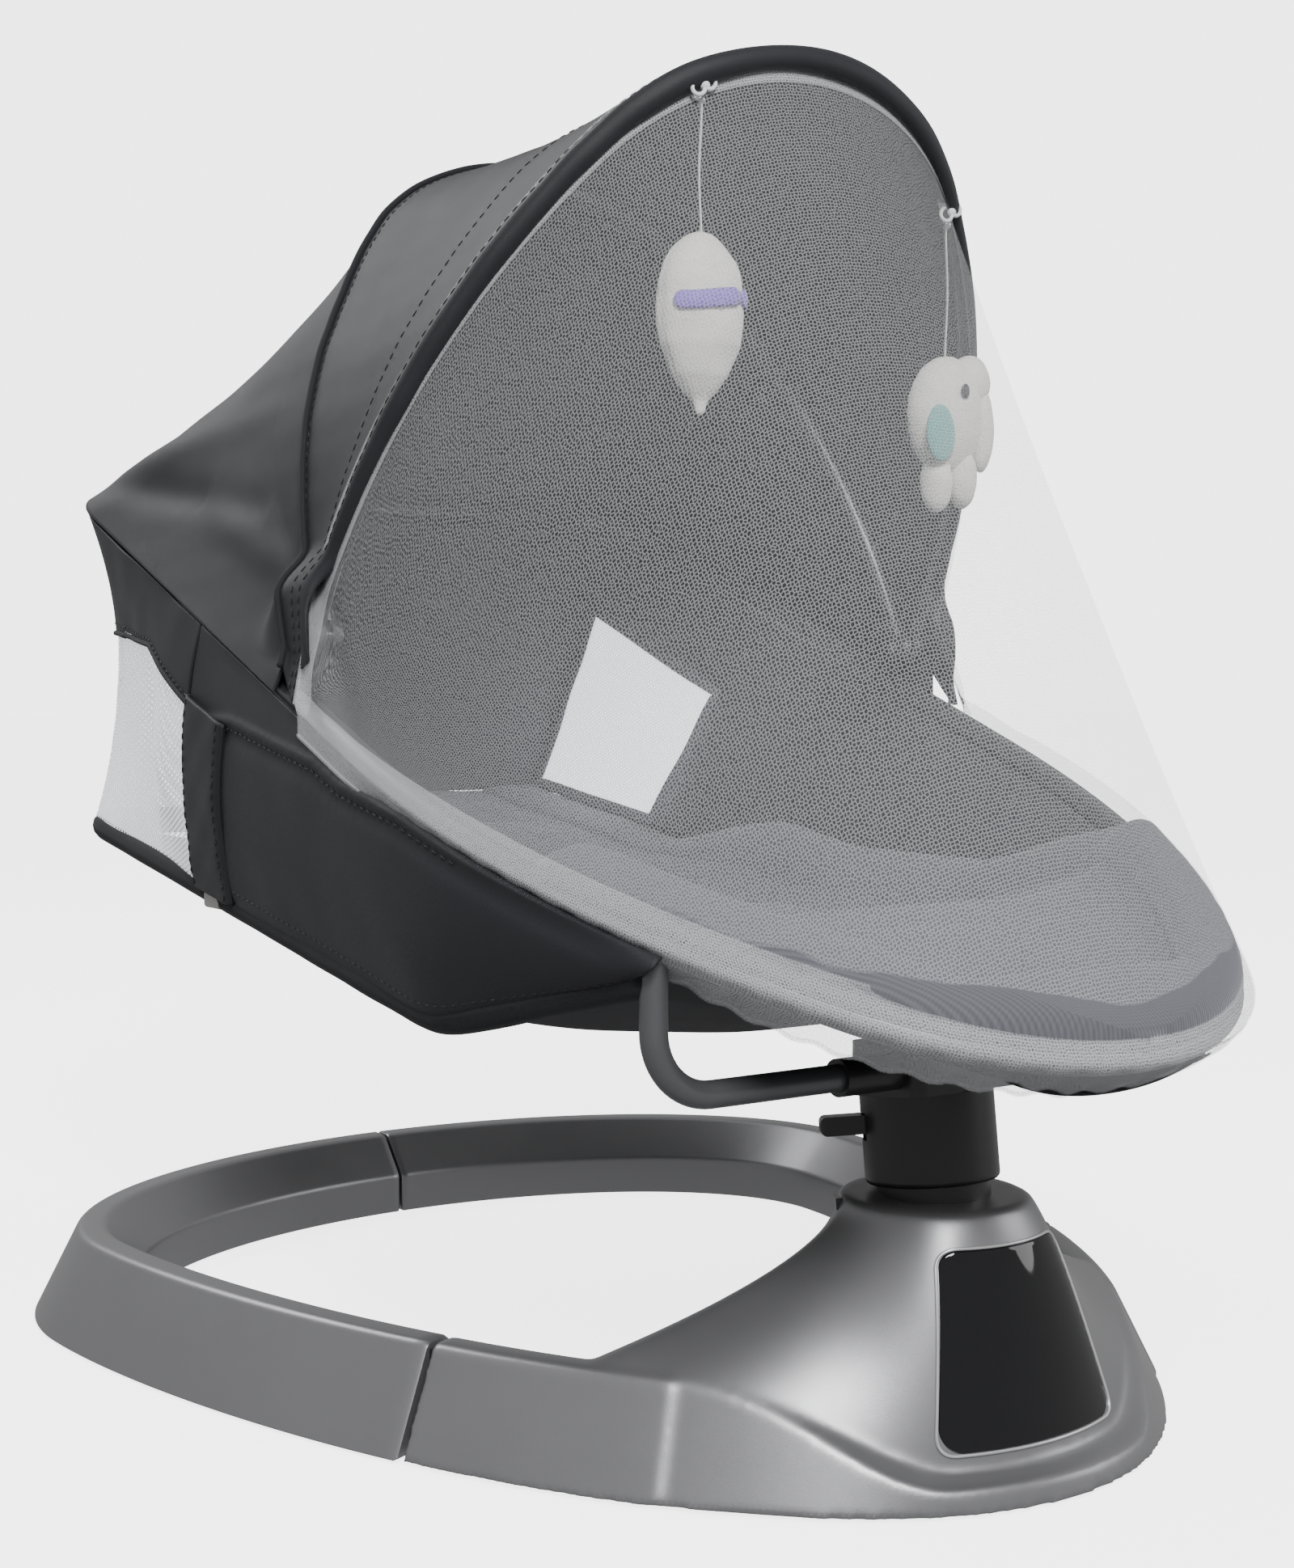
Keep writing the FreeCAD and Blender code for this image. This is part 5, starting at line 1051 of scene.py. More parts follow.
class SWING_OT_shell(bpy.types.Operator):
    """Make the outer shell: side panels, straps, bindings, the rear band and the rear mesh"""
    bl_idname = "swing.shell"
    bl_label = "Shell"

    def execute(self, context):
        sizes, finish = context.scene.swing_sizes, finishes(context.scene.swing_colours)
        lines = Lines(sizes)
        wall = Wall(lines)
        last = wall.last
        seams = []
        rows = 110
        t = np.linspace(0, 1, rows)[:, None]
        strap_top = wall.column_at(STRAP_HIGH[1], wall.top)
        strap_low = wall.column_at(STRAP_LOW[1], wall.low)
        for name, sign in (("left_side", -1), ("right_side", 1)):
            across = np.linspace(0, 1, 170)[None, :]
            column = across * (strap_top * (1 - t) + strap_low * t)
            place = column if sign < 0 else last - column
            points = wall.at(place, t)
            normals = grid_normals(points)
            middle = wall.at(np.round(column[rows // 2]), 0.5)
            seam_height = np.interp(middle[:, 1], SEAM_Y, SEAM_Z)
            top_z, low_z = points[0, :, 2], points[-1, :, 2]
            share = np.clip((top_z - seam_height) / (top_z - low_z), 0.03, 1)
            away = (t - share[None]) * (top_z - low_z)[None]
            lift = 0.0016 * np.exp(-(away / 0.0030) ** 2) - 0.0010 * np.exp(-((away - 0.008) / 0.005) ** 2)
            lift += 0.0016 * ripple(points, 0.15, 11) + 0.0005 * ripple(points, 0.05, 12)
            folds = (((0.205, 0.12, 0.235), (0.212, 0.33, 0.345), 0.013, 0.0022),
                     ((0.20, 0.09, 0.225), (0.212, 0.34, 0.285), 0.011, -0.0022),
                     ((0.20, 0.15, 0.220), (0.212, 0.30, 0.255), 0.009, 0.0016))
            for begin, finish_point, width, height in folds:
                lift += height * ridge(points, np.array(begin) * [sign, 1, 1],
                                       np.array(finish_point) * [sign, 1, 1],
                                       width)
            edge_hold = np.minimum(t, 1 - t) / 0.05
            points = points + normals * (lift * np.clip(edge_hold, 0, 1))[..., None]
            shell = add_piece(name + "_cloth", thick_sheet(points, sizes.fabric), finish["charcoal"],
                              "seat")
            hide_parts(name + "_shell")
            below, ups = seam_line(points, normals, share + 0.0045 / (top_z - low_z), rows, 0.0004)
            keep = (middle[:, 1] > 0.10)
            seams.append(stitches(below[keep], ups[keep], sizes.stitch_pitch, 0.00036))
            seams.append(stitches(points[-9], normals[-9], sizes.stitch_pitch, 0.00036))
            width = float(travelled(points[rows // 2])[-1])
        height = np.interp(wall.top[:, 1], BAND_Y, BAND_Z)
        boundary = wall.share_at(height)
        count = 260
        across = np.linspace(0, 1, count)[None, :]

        def rear_patch(low_share, high_share, rows):
            """A patch of the rear wall between two shares, from one strap's rear edge to the other's."""
            v = np.linspace(0, 1, rows)[:, None]
            middle = (strap_top + strap_low) / 2
            rough = middle + across * (last - 2 * middle)
            first = np.interp(rough, np.arange(WALL_COLUMNS), low_share)
            second = np.interp(rough, np.arange(WALL_COLUMNS), high_share)
            share = first * (1 - v) + second * v
            start = strap_top * (1 - share) + strap_low * share
            return wall.at(start + across * (last - 2 * start), share)

        band_points = rear_patch(boundary * 0, boundary + 0.010, 40)
        normals = grid_normals(band_points)
        band_points += normals * (0.0012 * ripple(band_points, 0.10, 21) + 0.0005
                                  * ripple(band_points, 0.04, 23)
                                  )[..., None]
        band = add_piece("rear_band_cloth", thick_sheet(band_points, sizes.fabric), finish["charcoal"],
                         "seat")
        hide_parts("rear_shell_band")
        mesh_points = rear_patch(boundary, boundary * 0 + 1, 60)
        normals = grid_normals(mesh_points)
        mesh_points += normals * (0.0016 * ripple(mesh_points, 0.09, 22) - 0.0008)[..., None]
        knit = add_piece("rear_knit", thick_sheet(mesh_points, 0.0006), finish["knit"], "seat")
        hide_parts("rear_mesh")
        hems = [tube(band_points[-1] + grid_normals(band_points)[-1] * 0.0002, 0.0017, 8, UP)]
        seams.append(stitches(band_points[-4] + grid_normals(band_points)[-4] * 0.0004,
                              grid_normals(band_points)[-4],
                              sizes.stitch_pitch, 0.00036))
        binding = lines.lower_line(0.0, 0.012, 900)
        clip_low, clip_high = corners("frame_clips")
        left = binding[:, 0] < 0
        spans = [(binding[:, 1] < clip_low[1]) & left, (binding[:, 1] < clip_low[1]) & ~left,
                 binding[:, 1] > clip_high[1]]
        for span in spans:
            line = binding[span]
            hems.append(tube(line, 0.0086 + 0.0004 * ripple(line, 0.05, 31), 14, UP))
        add_piece("lower_binding", joined(hems), finish["welt"], "seat")
        straps = []
        for mirrored in (False, True):
            t = np.linspace(0.27, 0.985, 60)[:, None]
            u = np.linspace(0, 1, 30)[None, :]
            first = wall.column_at(STRAP_HIGH[0], wall.top) * (1 - t) + wall.column_at(STRAP_LOW[0],
                                                                                       wall.low) * t
            second = strap_top * (1 - t) + strap_low * t
            column = first * (1 - u) + second * u
            points = wall.at(last - column if mirrored else column, t)
            normals = grid_normals(points)
            height = 0.0026 * (1 - np.abs(2 * u - 1) ** 8) + 0.0008 * ripple(points, 0.03, 41)
            points = points + normals * (0.0014 + height)[..., None]
            straps.append(thick_sheet(points, 0.0022))
            for edge in (3, -4):
                seams.append(stitches(points[:, edge] + normals[:, edge] * 0.0003, normals[:, edge],
                                      sizes.stitch_pitch, 0.00036))
        add_piece("shell_straps", joined(straps), finish["charcoal"], "seat")
        add_piece("shell_stitches", joined(seams), finish["thread"], "seat")
        return {"FINISHED"}


# ---------------------------------------------------------------- lining
class SWING_OT_lining(bpy.types.Operator):
    """Make the inner side walls with their mesh windows"""
    bl_idname = "swing.lining"
    bl_label = "Lining"

    def execute(self, context):
        sizes, finish = context.scene.swing_sizes, finishes(context.scene.swing_colours)
        lines = Lines(sizes)
        top = lines.rim_part(-sizes.rim_radius - 0.0025, 0.062, 301, -0.004, foot=False)
        low_y = np.minimum(top[:, 1] - 0.004, 0.560)
        low = np.stack([np.clip(top[:, 0], -0.122, 0.122), low_y, pad_base(low_y) + 0.001], axis=1)
        shares = np.linspace(0, 1, 60)[:, None, None]
        points = top[None] * (1 - shares) + low[None] * shares
        points = points + grid_normals(points) * (0.0016 * ripple(points, 0.10, 51)
                                                  - 0.004 * np.sin(math.pi * shares[..., 0]))[..., None]
        lining = add_piece("lining_cloth", thick_sheet(points, sizes.fabric), finish["lining"],
                           "seat")
        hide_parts("seat_lining")
        windows, frames = [], []
        for sign in (-1, 1):
            quad = np.array([[0.170, 0.560, 0.416], [0.170, 0.414, 0.354], [0.120, 0.418, 0.271],
                             [0.120, 0.556, 0.293]]) * [sign, 1, 1]
            u, v = np.meshgrid(np.linspace(0, 1, 40), np.linspace(0, 1, 40), indexing="ij")
            u, v = u[..., None], v[..., None]
            first = quad[0] * (1 - u) * (1 - v) + quad[1] * u * (1 - v)
            patch = first + quad[2] * u * v + quad[3] * (1 - u) * v
            inward = -grid_normals(patch, np.array([0.0, 0.45, 0.40]))
            raised = patch + inward * (0.010 + 0.0012 * ripple(patch, 0.05, 52))[..., None]
            windows.append(thick_sheet(raised, 0.0008))
            border = np.concatenate([raised[:, 0], raised[-1, 1:], raised[::-1, -1][1:],
                                     raised[0, ::-1][1:-1]])
            frames.append(tube(border, 0.0042, 8, inward[20, 20], flat=0.35, closed=True))
        add_piece("lining_windows", joined(windows), finish["window"], "seat")
        add_piece("window_bindings", joined(frames), finish["pad"], "seat")
        return {"FINISHED"}


# ---------------------------------------------------------------- pad
PAD_Y = np.array([-0.112, -0.092, -0.050, 0.0, 0.040, 0.090, 0.130, 0.200, 0.300, 0.420, 0.510, 0.556])
PAD_Z = np.array([0.207, 0.216, 0.238, 0.250, 0.251, 0.236, 0.222, 0.226, 0.243, 0.268, 0.283, 0.291])


def pad_base(y):
    """Height of the pad's upper face along the seat, by straight lines between stations."""
    return np.interp(y, PAD_Y, PAD_Z)


class SWING_OT_pad(bpy.types.Operator):
    """Make the quilted seat pad, its bolster edge, the crotch pad and the patch"""
    bl_idname = "swing.pad"
    bl_label = "Pad"

    def execute(self, context):
        sizes, finish = context.scene.swing_sizes, finishes(context.scene.swing_colours)
        lines = Lines(sizes)
        outline = lines.rim_outline(0.007, 3000)
        left = outline[(outline[:, 0] <= 0)]
        left = left[np.argsort(left[:, 1])]
        left = left[left[:, 1] < 0.558]
        rows, columns = 220, 161
        share = np.linspace(0, 1, rows)
        y = -0.1195 + (0.556 + 0.1195) * (share ** 1.7 * 0.75 + share * 0.25)
        rim_half = np.interp(y, left[:, 1], -left[:, 0])
        inner_half = np.interp(y, [0.04, 0.20, 0.556], [0.205, 0.128, 0.112])
        half = np.minimum(rim_half, inner_half)
        rim_z = lines.foot[2] + (y - lines.foot[1]) * lines.rim_up[2] / lines.rim_up[1]
        u = np.linspace(-1, 1, columns)
        u = np.sin(u * math.pi / 2) * 0.35 + u * 0.65
        x = half[:, None] * u[None]
        base = pad_base(y)
        foot_away = (y + 0.1195)[:, None] * np.ones_like(x)
        edge_away = np.minimum(half[:, None] - np.abs(x), foot_away)
        roll = np.clip(edge_away / 0.048, 0, 1)
        bolster = np.where(roll < 1, 0.016 * np.sqrt(np.clip(4 * roll * (1 - roll), 0, 1)), 0)
        fade = 1 - smooth_step(y, 0.26, 0.40)[:, None]
        inner = smooth_step(edge_away, 0.048, 0.100)
        quilt = 0.0045 * np.abs(np.sin(math.pi * (y[:, None] * np.ones_like(x)) / 0.092)) ** 0.5
        edge_z = np.minimum(rim_z + 0.010, base + 0.03)[:, None]
        lifted = base[:, None] + (edge_z - base[:, None]) * (1 - smooth_step(edge_away, 0.0, 0.11)) * fade
        z = lifted + bolster * fade + 0.0045 * bolster / 0.016 * (1 - fade) + quilt * inner
        flat = np.stack([x, np.broadcast_to(y[:, None], x.shape), z], axis=-1)
        z = z + 0.0012 * ripple(flat, 0.06, 61) + 0.0006 * ripple(flat, 0.024, 62)
        upper = np.stack([x, np.broadcast_to(y[:, None], x.shape), z], axis=-1)
        thin = np.clip(edge_away / 0.012, 0, 1) ** 0.5
        lower = upper.copy()
        lower[..., 2] = np.where(thin < 1, z - 0.004 - 0.012 * thin, np.minimum(z - 0.014, lifted - 0.012))
        grid = grid_faces(rows, columns)
        count = rows * columns
        edge = np.concatenate([np.arange(columns), np.arange(2 * columns - 1, count, columns),
                               np.arange(count - 2, count - columns - 1, -1),
                               np.arange(count - 2 * columns, 0, -columns)])
        following = np.roll(edge, -1)
        border = np.stack([edge, following, following + count, edge + count], axis=-1)
        uv = upper[..., :2].reshape(-1, 2)
        shape = (np.concatenate([upper.reshape(-1, 3), lower.reshape(-1, 3)]),
                 np.concatenate([grid, grid[:, ::-1] + count, border]), np.concatenate([uv, uv]))
        pad = add_piece("seat_pad_cloth", shape, finish["pad"], "seat")
        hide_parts("seat_pad")
        centre_y = 0.146
        top_z = float(pad_base(centre_y))
        body, faces = ellipsoid((0, centre_y, top_z + 0.010), (0.036, 0.040, 0.015), 40, 56)
        body += unit(body - [0, centre_y, top_z]) * (0.0012 * ripple(body, 0.03, 63))[..., None]
        crotch = add_piece("crotch_pad_cloth", (body.reshape(-1, 3), faces, body.reshape(-1, 3)[:, :2]),
                           finish["pad"], "seat")
        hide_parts("crotch_pad")
        spot = np.array([-0.080, 0.118])
        row, column = np.unravel_index(np.argmin(np.linalg.norm(upper[..., :2] - spot, axis=-1)), x.shape)
        up = grid_normals(upper)[row, column]
        up = up * np.sign(up[2])
        along = unit(np.cross(up, ACROSS))
        beside = np.cross(along, up)
        rings, turn = np.meshgrid(np.linspace(0, 1, 12), np.arange(48) * 2 * math.pi / 48, indexing="ij")
        domed = 0.0022 * (1 - rings ** 6)
        badge = (upper[row, column] + 0.019 * (rings * np.cos(turn))[..., None] * along
                 + 0.011 * (rings * np.sin(turn))[..., None] * beside + (domed + 0.0004)[..., None] * up)
        add_piece("pad_patch", (badge.reshape(-1, 3), grid_faces(12, 48, False, True), shape_uv(badge)),
                  finish["patch"], "seat")
        return {"FINISHED"}


class SWING_OT_sling(bpy.types.Operator):
    """Make the sling under the pad"""
    bl_idname = "swing.sling"
    bl_label = "Sling"

    def execute(self, context):
        sizes, finish = context.scene.swing_sizes, finishes(context.scene.swing_colours)
        y = np.array([-0.096, -0.06, -0.02, 0.01, 0.04, 0.08, 0.126, 0.20, 0.30, 0.378, 0.50, 0.562])
        edge_x = np.array([0.062, 0.098, 0.130, 0.150, 0.170, 0.180, 0.1935, 0.1935, 0.1935, 0.1935,
                           0.1935, 0.1935])
        edge_z = np.array([0.196, 0.210, 0.226, 0.235, 0.228, 0.218, 0.206, 0.2175, 0.233, 0.246, 0.2645,
                           0.273])
        sag = np.where(y < 0.02, 0.012, 0.022)
        line = softened(np.stack([edge_x, y, edge_z], axis=1), 0.02, 120)
        u = np.linspace(-1, 1, 81)[None, :]
        depth = np.interp(line[:, 1], y, sag)[:, None] * (1 - u ** 2)
        points = np.stack([line[:, :1] * u, np.broadcast_to(line[:, 1:2], (120, 81)), line[:, 2:] - depth],
                          axis=-1)
        points[..., 2] += 0.0012 * ripple(points, 0.09, 71)
        sling = add_piece("sling_cloth", thick_sheet(points, sizes.fabric), finish["welt"],
                          "seat")
        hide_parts("seat_sling")
        return {"FINISHED"}


# ---------------------------------------------------------------- net
class SWING_OT_net(bpy.types.Operator):
    """Make the mosquito net with its double hems"""
    bl_idname = "swing.net"
    bl_label = "Net"

    def execute(self, context):
        sizes, finish = context.scene.swing_sizes, finishes(context.scene.swing_colours)
        lines = Lines(sizes)
        columns = 261
        side = lines.rim_half + sizes.rim_radius + 0.0065
        hoop = lines.hoop("front_hoop", 0.0025, 0.030, columns)
        up = hoop_plane("front_hoop", sizes.hoop_radius)[2]
        hoop = with_ends(hoop + np.cross(ACROSS, up) * -0.0088, (side, 0.240, 0.353), columns)
        rim = lines.rim_part(sizes.rim_radius + 0.005, PIVOT[1] - 0.024, columns, 0.003)
        v = np.linspace(0, 1, 110)[:, None, None]
        points = hoop[None] * (1 - v) + rim[None] * v
        normals = grid_normals(points)
        over = np.abs(np.linspace(-1, 1, columns))[None, :]
        slack = 0.004 * np.sin(math.pi * v[..., 0]) * (1 - over ** 6)
        folds = 0.0016 * np.sin(over * 60) * smooth_step(over, 0.75, 1.0) * np.sin(math.pi * v[..., 0])
        points = points - normals * (slack + folds + 0.0008 * ripple(points, 0.10, 81)
                                     * np.sin(math.pi * v[..., 0])
                                     )[..., None]
        drop = 0.011 + 0.005 * smooth_step(-rim[:, 1], -0.040, 0.060)
        gather = np.sin(np.linspace(0, 1, columns) * 2 * math.pi * 46)
        under = smooth_step(-rim[:, 1], -0.20, -0.02)
        hem_rows = []
        for share in np.linspace(0, 1, 12)[1:]:
            line = rim.copy()
            line[:, 2] -= drop * share
            inward = unit((HEART - rim) * [1, 1, 0])
            line += inward * (0.030 * share ** 1.5 * under)[:, None]
            line += inward * (0.0008 * gather * under * math.sin(math.pi * share))[:, None]
            line[:, 2] += 0.0010 * gather * under * share
            hem_rows.append(line)
        points = np.concatenate([points, np.array(hem_rows)])
        net = add_piece("net_cloth", thick_sheet(points, 0.0003), finish["net"])
        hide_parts("mosquito_net")
        normals = grid_normals(points)
        pieces = []
        lengths = np.linalg.norm(np.diff(points[:110], axis=0), axis=2)
        down = np.concatenate([np.zeros((1, columns)), np.cumsum(lengths, axis=0)])
        whole = down[-1]
        bands = []
        for low_share, high_share in ((np.zeros(columns), sizes.hem_width / whole),
                                      (1 - sizes.hem_width / whole, np.ones(columns))):
            share = low_share + (high_share - low_share) * np.linspace(0, 1, 10)[:, None]
            place = np.clip(share, 0, 1) * 109
            index = np.clip(place.astype(int), 0, 108)
            part = (place - index)[..., None]
            column = np.broadcast_to(np.arange(columns), index.shape)
            band = points[index, column] * (1 - part) + points[index + 1, column] * part
            bands.append(thick_sheet(band + normals[index, column] * 0.0007, 0.0003))
        bands.append(thick_sheet(points[109:] + normals[109:] * 0.0006, 0.0003))
        hems = add_piece("net_hems", joined(bands), finish["hem"])
        edge = [tube(points[0] + normals[0] * 0.0004, 0.0009, 6, UP), tube(points[-1], 0.0012, 6, UP)]
        cords = add_piece("net_edges", joined(edge), finish["hem"])
        pieces = [net, hems, cords]
        for piece in pieces:
            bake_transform(piece)
        return {"FINISHED"}


# ---------------------------------------------------------------- toys
def toy_body(centre, half, profile, seed, rows=60, columns=56):
    """A sewn soft toy: a ring for each height whose half widths follow the profile, with four sewn
    seams that pull in, and soft lumps from the filling."""
    t = np.linspace(0, 1, rows)
    radius = np.interp(t, profile[0], profile[1]) * np.sin(np.pi * np.clip(t, 0.0, 1.0)) ** 0.15
    radius = np.where((t <= 0) | (t >= 1), 0.0, radius)
    turn = np.arange(columns) * 2 * math.pi / columns
    seam = 1 - 0.035 * np.exp(-(np.sin(2 * turn) / 0.12) ** 2)
    x = radius[:, None] * half[0] * np.cos(turn)[None] * seam[None]
    y = radius[:, None] * half[1] * np.sin(turn)[None] * seam[None]
    z = np.broadcast_to((0.5 - t)[:, None] * 2 * half[2], x.shape)
    points = np.stack([x, y, z], axis=-1) + np.asarray(centre)
    points = points + unit(points - centre) * (0.0010 * ripple(points, 0.022, seed)
                                               * (radius[:, None] > 0))[..., None]
    return points.reshape(-1, 3), grid_faces(rows, columns, False, True), points.reshape(-1, 3)[:, [0, 2]]


def blob(centre, half, seed, rows=24, columns=28):
    """A small stuffed part: an ellipsoid with soft lumps."""
    points, faces = ellipsoid(centre, half, rows, columns)
    points = points + unit(points - np.asarray(centre)) * (0.0005 * ripple(points, 0.012, seed))[..., None]
    return points.reshape(-1, 3), faces, points.reshape(-1, 3)[:, [0, 2]]


class SWING_OT_toys(bpy.types.Operator):
    """Make the two hanging toys with their tapes and bows"""
    bl_idname = "swing.toys"
    bl_label = "Toys"

    def execute(self, context):
        finish = finishes(context.scene.swing_colours)
        low, high = corners("toy_a_plush")
        centre, half = (low + high) / 2, (high - low) / 2
        profile = (np.array([0, 0.012, 0.04, 0.09, 0.17, 0.28, 0.42, 0.62, 0.78, 0.87, 0.91, 0.95, 0.98, 1]),
                   np.array([0.20, 0.38, 0.58, 0.76, 0.91, 0.98, 1.0, 0.93, 0.68, 0.42, 0.26, 0.18, 0.17, 0.10]))
        egg = add_piece("toy_a_body", toy_body(centre, half, profile, 91), finish["plush"],
                        "toy_a")
        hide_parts("toy_a_plush")
        turn = np.linspace(-0.9, 1.15, 60)
        outwards = np.stack([np.sin(turn), -np.cos(turn), 0 * turn], axis=1)
        spot = centre + UP * 0.010
        path = np.stack([centre[0] + (half[0] * 0.99 + 0.001) * np.sin(turn),
                         centre[1] - (half[1] * 0.99 + 0.001) * np.cos(turn),
                         spot[2] + 0.002 * np.sin(turn * 2)], axis=1)
        band = tube(path, 0.0046 * (1 - 0.55 * np.exp(-((turn - 0.55) / 0.10) ** 2)), 8, outwards, flat=0.22)
        add_piece("toy_a_ribbon", band, finish["ribbon"], "toy_a")

        low, high = corners("toy_b_plush")
        centre, half = (low + high) / 2, (high - low) / 2
        parts = [blob(centre + [0, 0, 0.2 * half[2]], half * [0.86, 0.9, 0.72], 92, 40, 44),
                 blob(centre + [0.55 * half[0], -0.1 * half[1], 0.62 * half[2]], half * [0.42, 0.62, 0.34],
                      93),
                 blob(centre + [0.72 * half[0], -0.35 * half[1], 0.05 * half[2]],
                      half * [0.24, 0.42, 0.52], 94),
                 blob(centre + [-0.35 * half[0], -0.2 * half[1], -0.62 * half[2]],
                      half * [0.30, 0.5, 0.37], 95),
                 blob(centre + [0.28 * half[0], -0.25 * half[1], -0.55 * half[2]], half * [0.28, 0.5, 0.37], 96)]
        animal = add_piece("toy_b_body", joined(parts), finish["plush"], "toy_b")
        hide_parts("toy_b_plush")
        add_piece("toy_b_ear", blob(centre + [-0.55 * half[0], -0.75 * half[1], -0.05 * half[2]],
                                    half * [0.36, 0.16, 0.34], 97), finish["ear"], "toy_b")
        add_piece("toy_b_eye", blob(centre + [-0.02 * half[0], -0.92 * half[1], 0.46 * half[2]],
                                    np.array([0.0028, 0.0012, 0.004]), 98), finish["eye"], "toy_b")
        for name in ("toy_a", "toy_b"):
            low, high = corners(name + "_strap")
            middle = (low + high) / 2
            z = np.linspace(low[2] - 0.004, high[2] + 0.002, 40)
            path = np.stack([middle[0] + 0.0007 * np.sin(z * 90), np.full(40, middle[1]), z], axis=1)
            tape = add_piece(name + "_tape", tube(path, 0.0021, 8, unit(np.array([0.83, -0.56, 0.0])),
                                                  flat=0.3),
                             finish["tape"], name)
            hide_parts(name + "_strap")
        low, high = corners("toy_ties")
        loops = []
        for name in ("toy_a", "toy_b"):
            hook_low, hook_high = corners(name + "_hook")
            hook = (hook_low + hook_high) / 2
            for sign, size in ((-1, 1.0), (1, 0.8)):
                turn = np.linspace(0, 2 * math.pi, 40)
                loop = np.stack([sign * 0.0075 * size * (1 - np.cos(turn)) * 0.5, 0.0015 * np.sin(turn),
                                 0.0038 * size * np.sin(turn) + 0.003 * (1 - np.cos(turn)) * 0.5 * sign], axis=1)
                loops.append(tube(hook + [0, -0.004, 0.006] + loop, 0.0011, 6, np.array([0.3, 1.0, 0.2])))
            knot, faces = ellipsoid(hook + [0, -0.004, 0.006], (0.0026, 0.0022, 0.0024), 12, 14)
            loops.append((knot.reshape(-1, 3), faces, shape_uv(knot)))
        add_piece("toy_bows", joined(loops), finish["tape"], "canopy_front")
        repaint("toy_ties", finish["tape"])
        return {"FINISHED"}


# ---------------------------------------------------------------- stage
BACKDROP = 3.9
ROOM_LIGHT = 0.42
FLOOR_GLOW = 3.45
STAGE_REACH = 60.0
CAMERA_PLACE = (-0.6727, -0.7289, 0.3532)
CAMERA_DOWN = 2.21
CAMERA_TURN = -34.3
CAMERA_LENS = 48.27
CLIP_RANGE = (0.01, 1000.0)


def stage_piece(name, points, faces, finish):
    """A part of the studio. It takes shadows and is seen, but doesn't light the swing or show in it."""
    mesh = bpy.data.meshes.new(name)
    mesh.from_pydata([tuple(point) for point in points], [], faces)
    mesh.materials.append(finish.material)
    piece = bpy.data.objects.new(name, mesh)
    piece.visible_diffuse = False
    piece.visible_glossy = False
    bpy.context.scene.collection.objects.link(piece)
    return piece


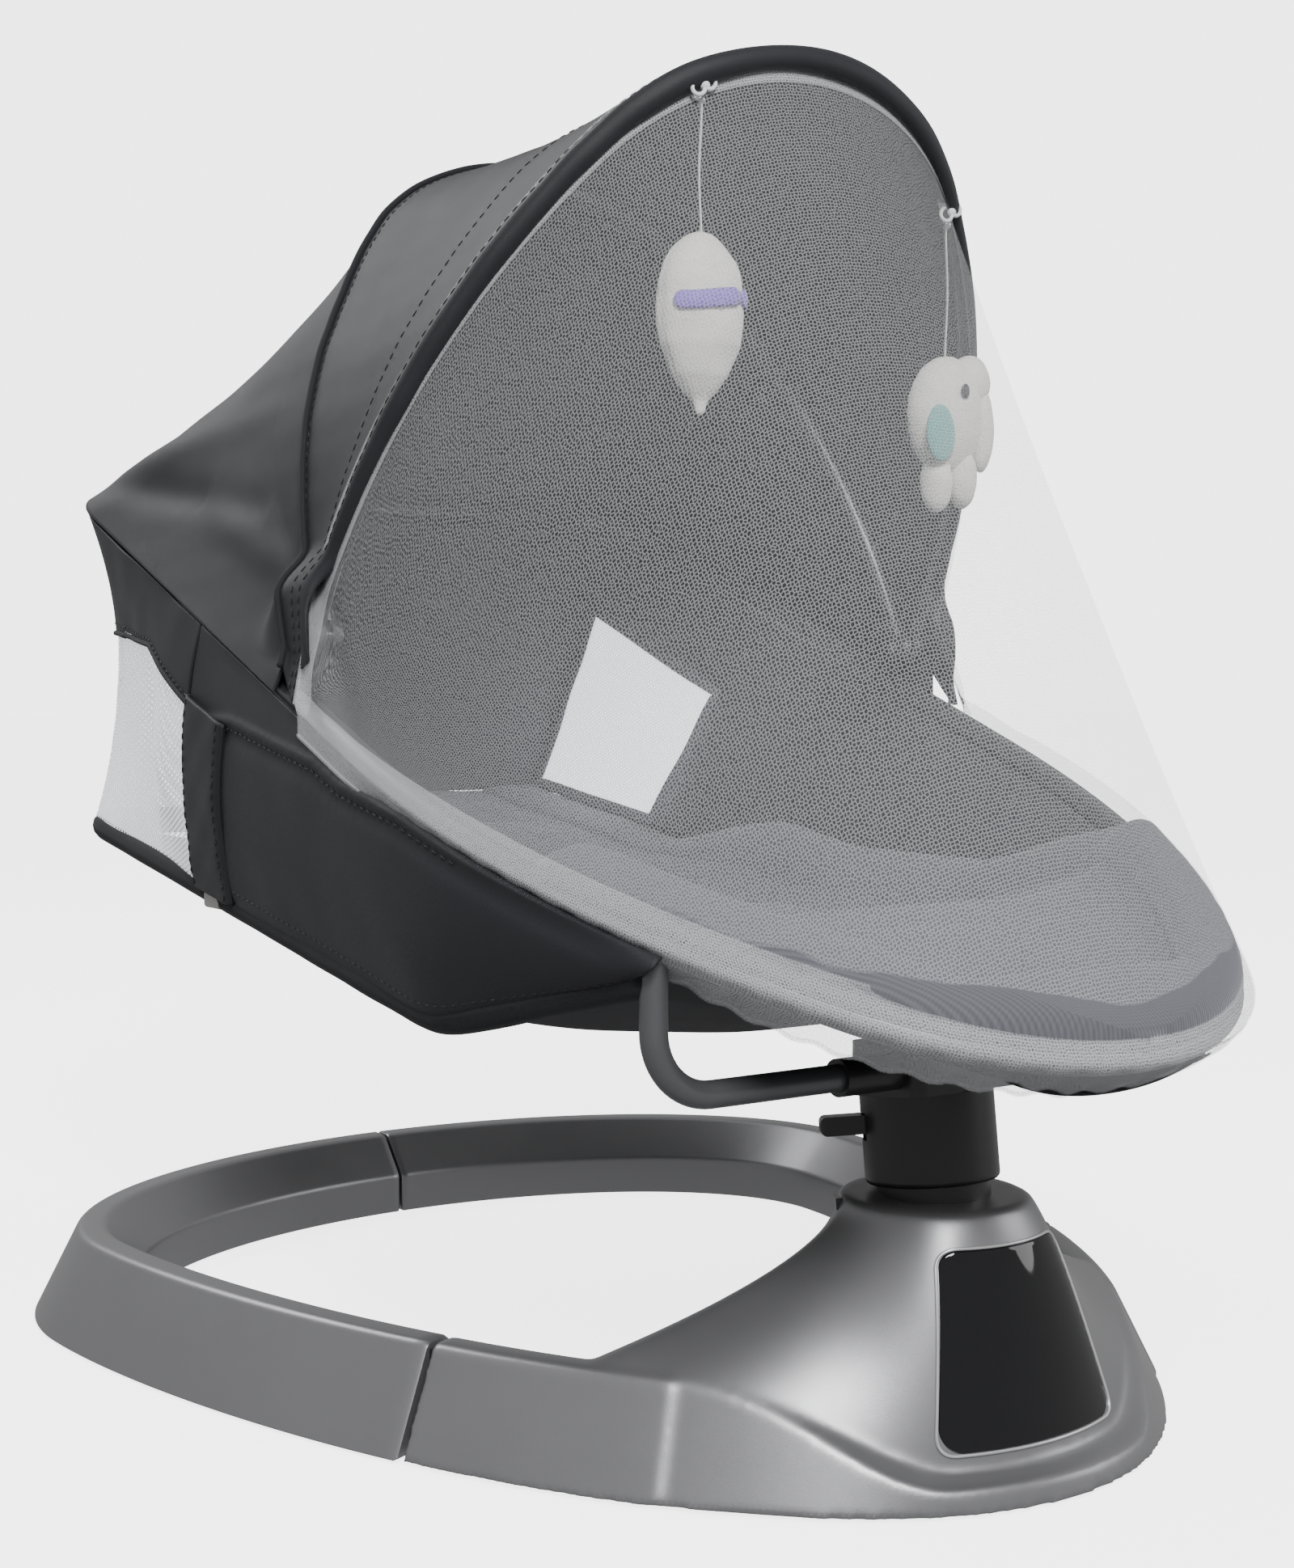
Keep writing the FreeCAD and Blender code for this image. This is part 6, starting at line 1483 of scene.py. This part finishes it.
class SWING_OT_stage(bpy.types.Operator):
    """Make the floor, the studio light and the camera"""
    bl_idname = "swing.stage"
    bl_label = "Stage"

    def execute(self, context):
        colours = context.scene.swing_colours
        finish = Finish("studio_floor", colours.floor, 0.9)
        finish.tint(finish.noise(1.2), 0.995, 1.005)
        finish.shader.inputs["Specular IOR Level"].default_value = 0.0
        finish.shader.inputs["Emission Color"].default_value = (1, 1, 1, 1)
        finish.shader.inputs["Emission Strength"].default_value = FLOOR_GLOW
        square = [(-1, -1), (1, -1), (1, 1), (-1, 1)]
        stage_piece("floor", [(x * STAGE_REACH, y * STAGE_REACH, 0) for x, y in square], [(0, 1, 2, 3)],
                    finish)
        wall = Finish("studio_wall", (0, 0, 0), 1.0)
        wall.shader.inputs["Specular IOR Level"].default_value = 0.0
        wall.shader.inputs["Emission Color"].default_value = (1, 1, 1, 1)
        wall.shader.inputs["Emission Strength"].default_value = BACKDROP
        reach = STAGE_REACH * 0.95
        around = [(x * reach, y * reach, z) for z in (-1.0, reach) for x, y in square]
        sides = [(i, (i + 1) % 4, (i + 1) % 4 + 4, i + 4) for i in range(4)]
        backdrop = stage_piece("backdrop", around, sides, wall)
        backdrop.visible_shadow = False
        world = bpy.data.worlds.new("studio")
        context.scene.world = world
        world.use_nodes = True
        world.node_tree.nodes["Background"].inputs["Color"].default_value = (*[ROOM_LIGHT] * 3, 1)
        for name, place, aim, width, power in (
                ("key", (-0.9, -1.7, 2.0), (0.0, 0.1, 0.2), 0.9, 80.0),
                ("fill", (1.9, -1.2, 1.0), (0.0, 0.1, 0.2), 1.2, 12.0),
                ("rim", (-0.8, 2.0, 2.2), (0.0, 0.2, 0.4), 1.4, 30.0)):
            data = bpy.data.lights.new(name, "AREA")
            data.shape = "DISK"
            data.size = width
            data.energy = power
            lamp = bpy.data.objects.new(name, data)
            lamp.location = place
            run = np.array(aim) - np.array(place)
            lamp.rotation_euler = (math.acos(-run[2] / np.linalg.norm(run)), 0,
                                   math.atan2(run[1], run[0]) - math.pi / 2)
            context.scene.collection.objects.link(lamp)
        data = bpy.data.cameras.new("camera")
        data.sensor_width = 36.0
        data.lens = CAMERA_LENS
        data.clip_start = CLIP_RANGE[0]
        data.clip_end = CLIP_RANGE[1]
        camera = bpy.data.objects.new("camera", data)
        camera.location = CAMERA_PLACE
        camera.rotation_euler = (math.radians(90 - CAMERA_DOWN), 0, math.radians(CAMERA_TURN))
        context.scene.collection.objects.link(camera)
        context.scene.camera = camera
        return {"FINISHED"}


OPERATORS = (SWING_OT_stage, SWING_OT_base, SWING_OT_carrier, SWING_OT_sling, SWING_OT_pad, SWING_OT_lining,
             SWING_OT_shell, SWING_OT_canopy, SWING_OT_net, SWING_OT_toys)


class SWING_PT_panel(bpy.types.Panel):
    """Sizes, colours and build steps of the baby swing"""
    bl_idname = "SWING_PT_panel"
    bl_label = "Baby swing"
    bl_space_type = "VIEW_3D"
    bl_region_type = "UI"
    bl_category = "Swing"

    def draw(self, context):
        for operator in OPERATORS:
            self.layout.operator(operator.bl_idname)
        for group in (context.scene.swing_sizes, context.scene.swing_colours):
            box = self.layout.box()
            for name in group.__annotations__:
                box.prop(group, name)


CLASSES = (SwingSizes, SwingColours, *OPERATORS, SWING_PT_panel)


def register():
    for item in CLASSES:
        bpy.utils.register_class(item)
    bpy.types.Scene.swing_sizes = bpy.props.PointerProperty(type=SwingSizes)
    bpy.types.Scene.swing_colours = bpy.props.PointerProperty(type=SwingColours)


def unregister():
    del bpy.types.Scene.swing_colours
    del bpy.types.Scene.swing_sizes
    for item in reversed(CLASSES):
        bpy.utils.unregister_class(item)


def main():
    register()
    for operator in OPERATORS:
        group, name = operator.bl_idname.split(".")
        getattr(getattr(bpy.ops, group), name)()


if __name__ == "__main__":
    main()
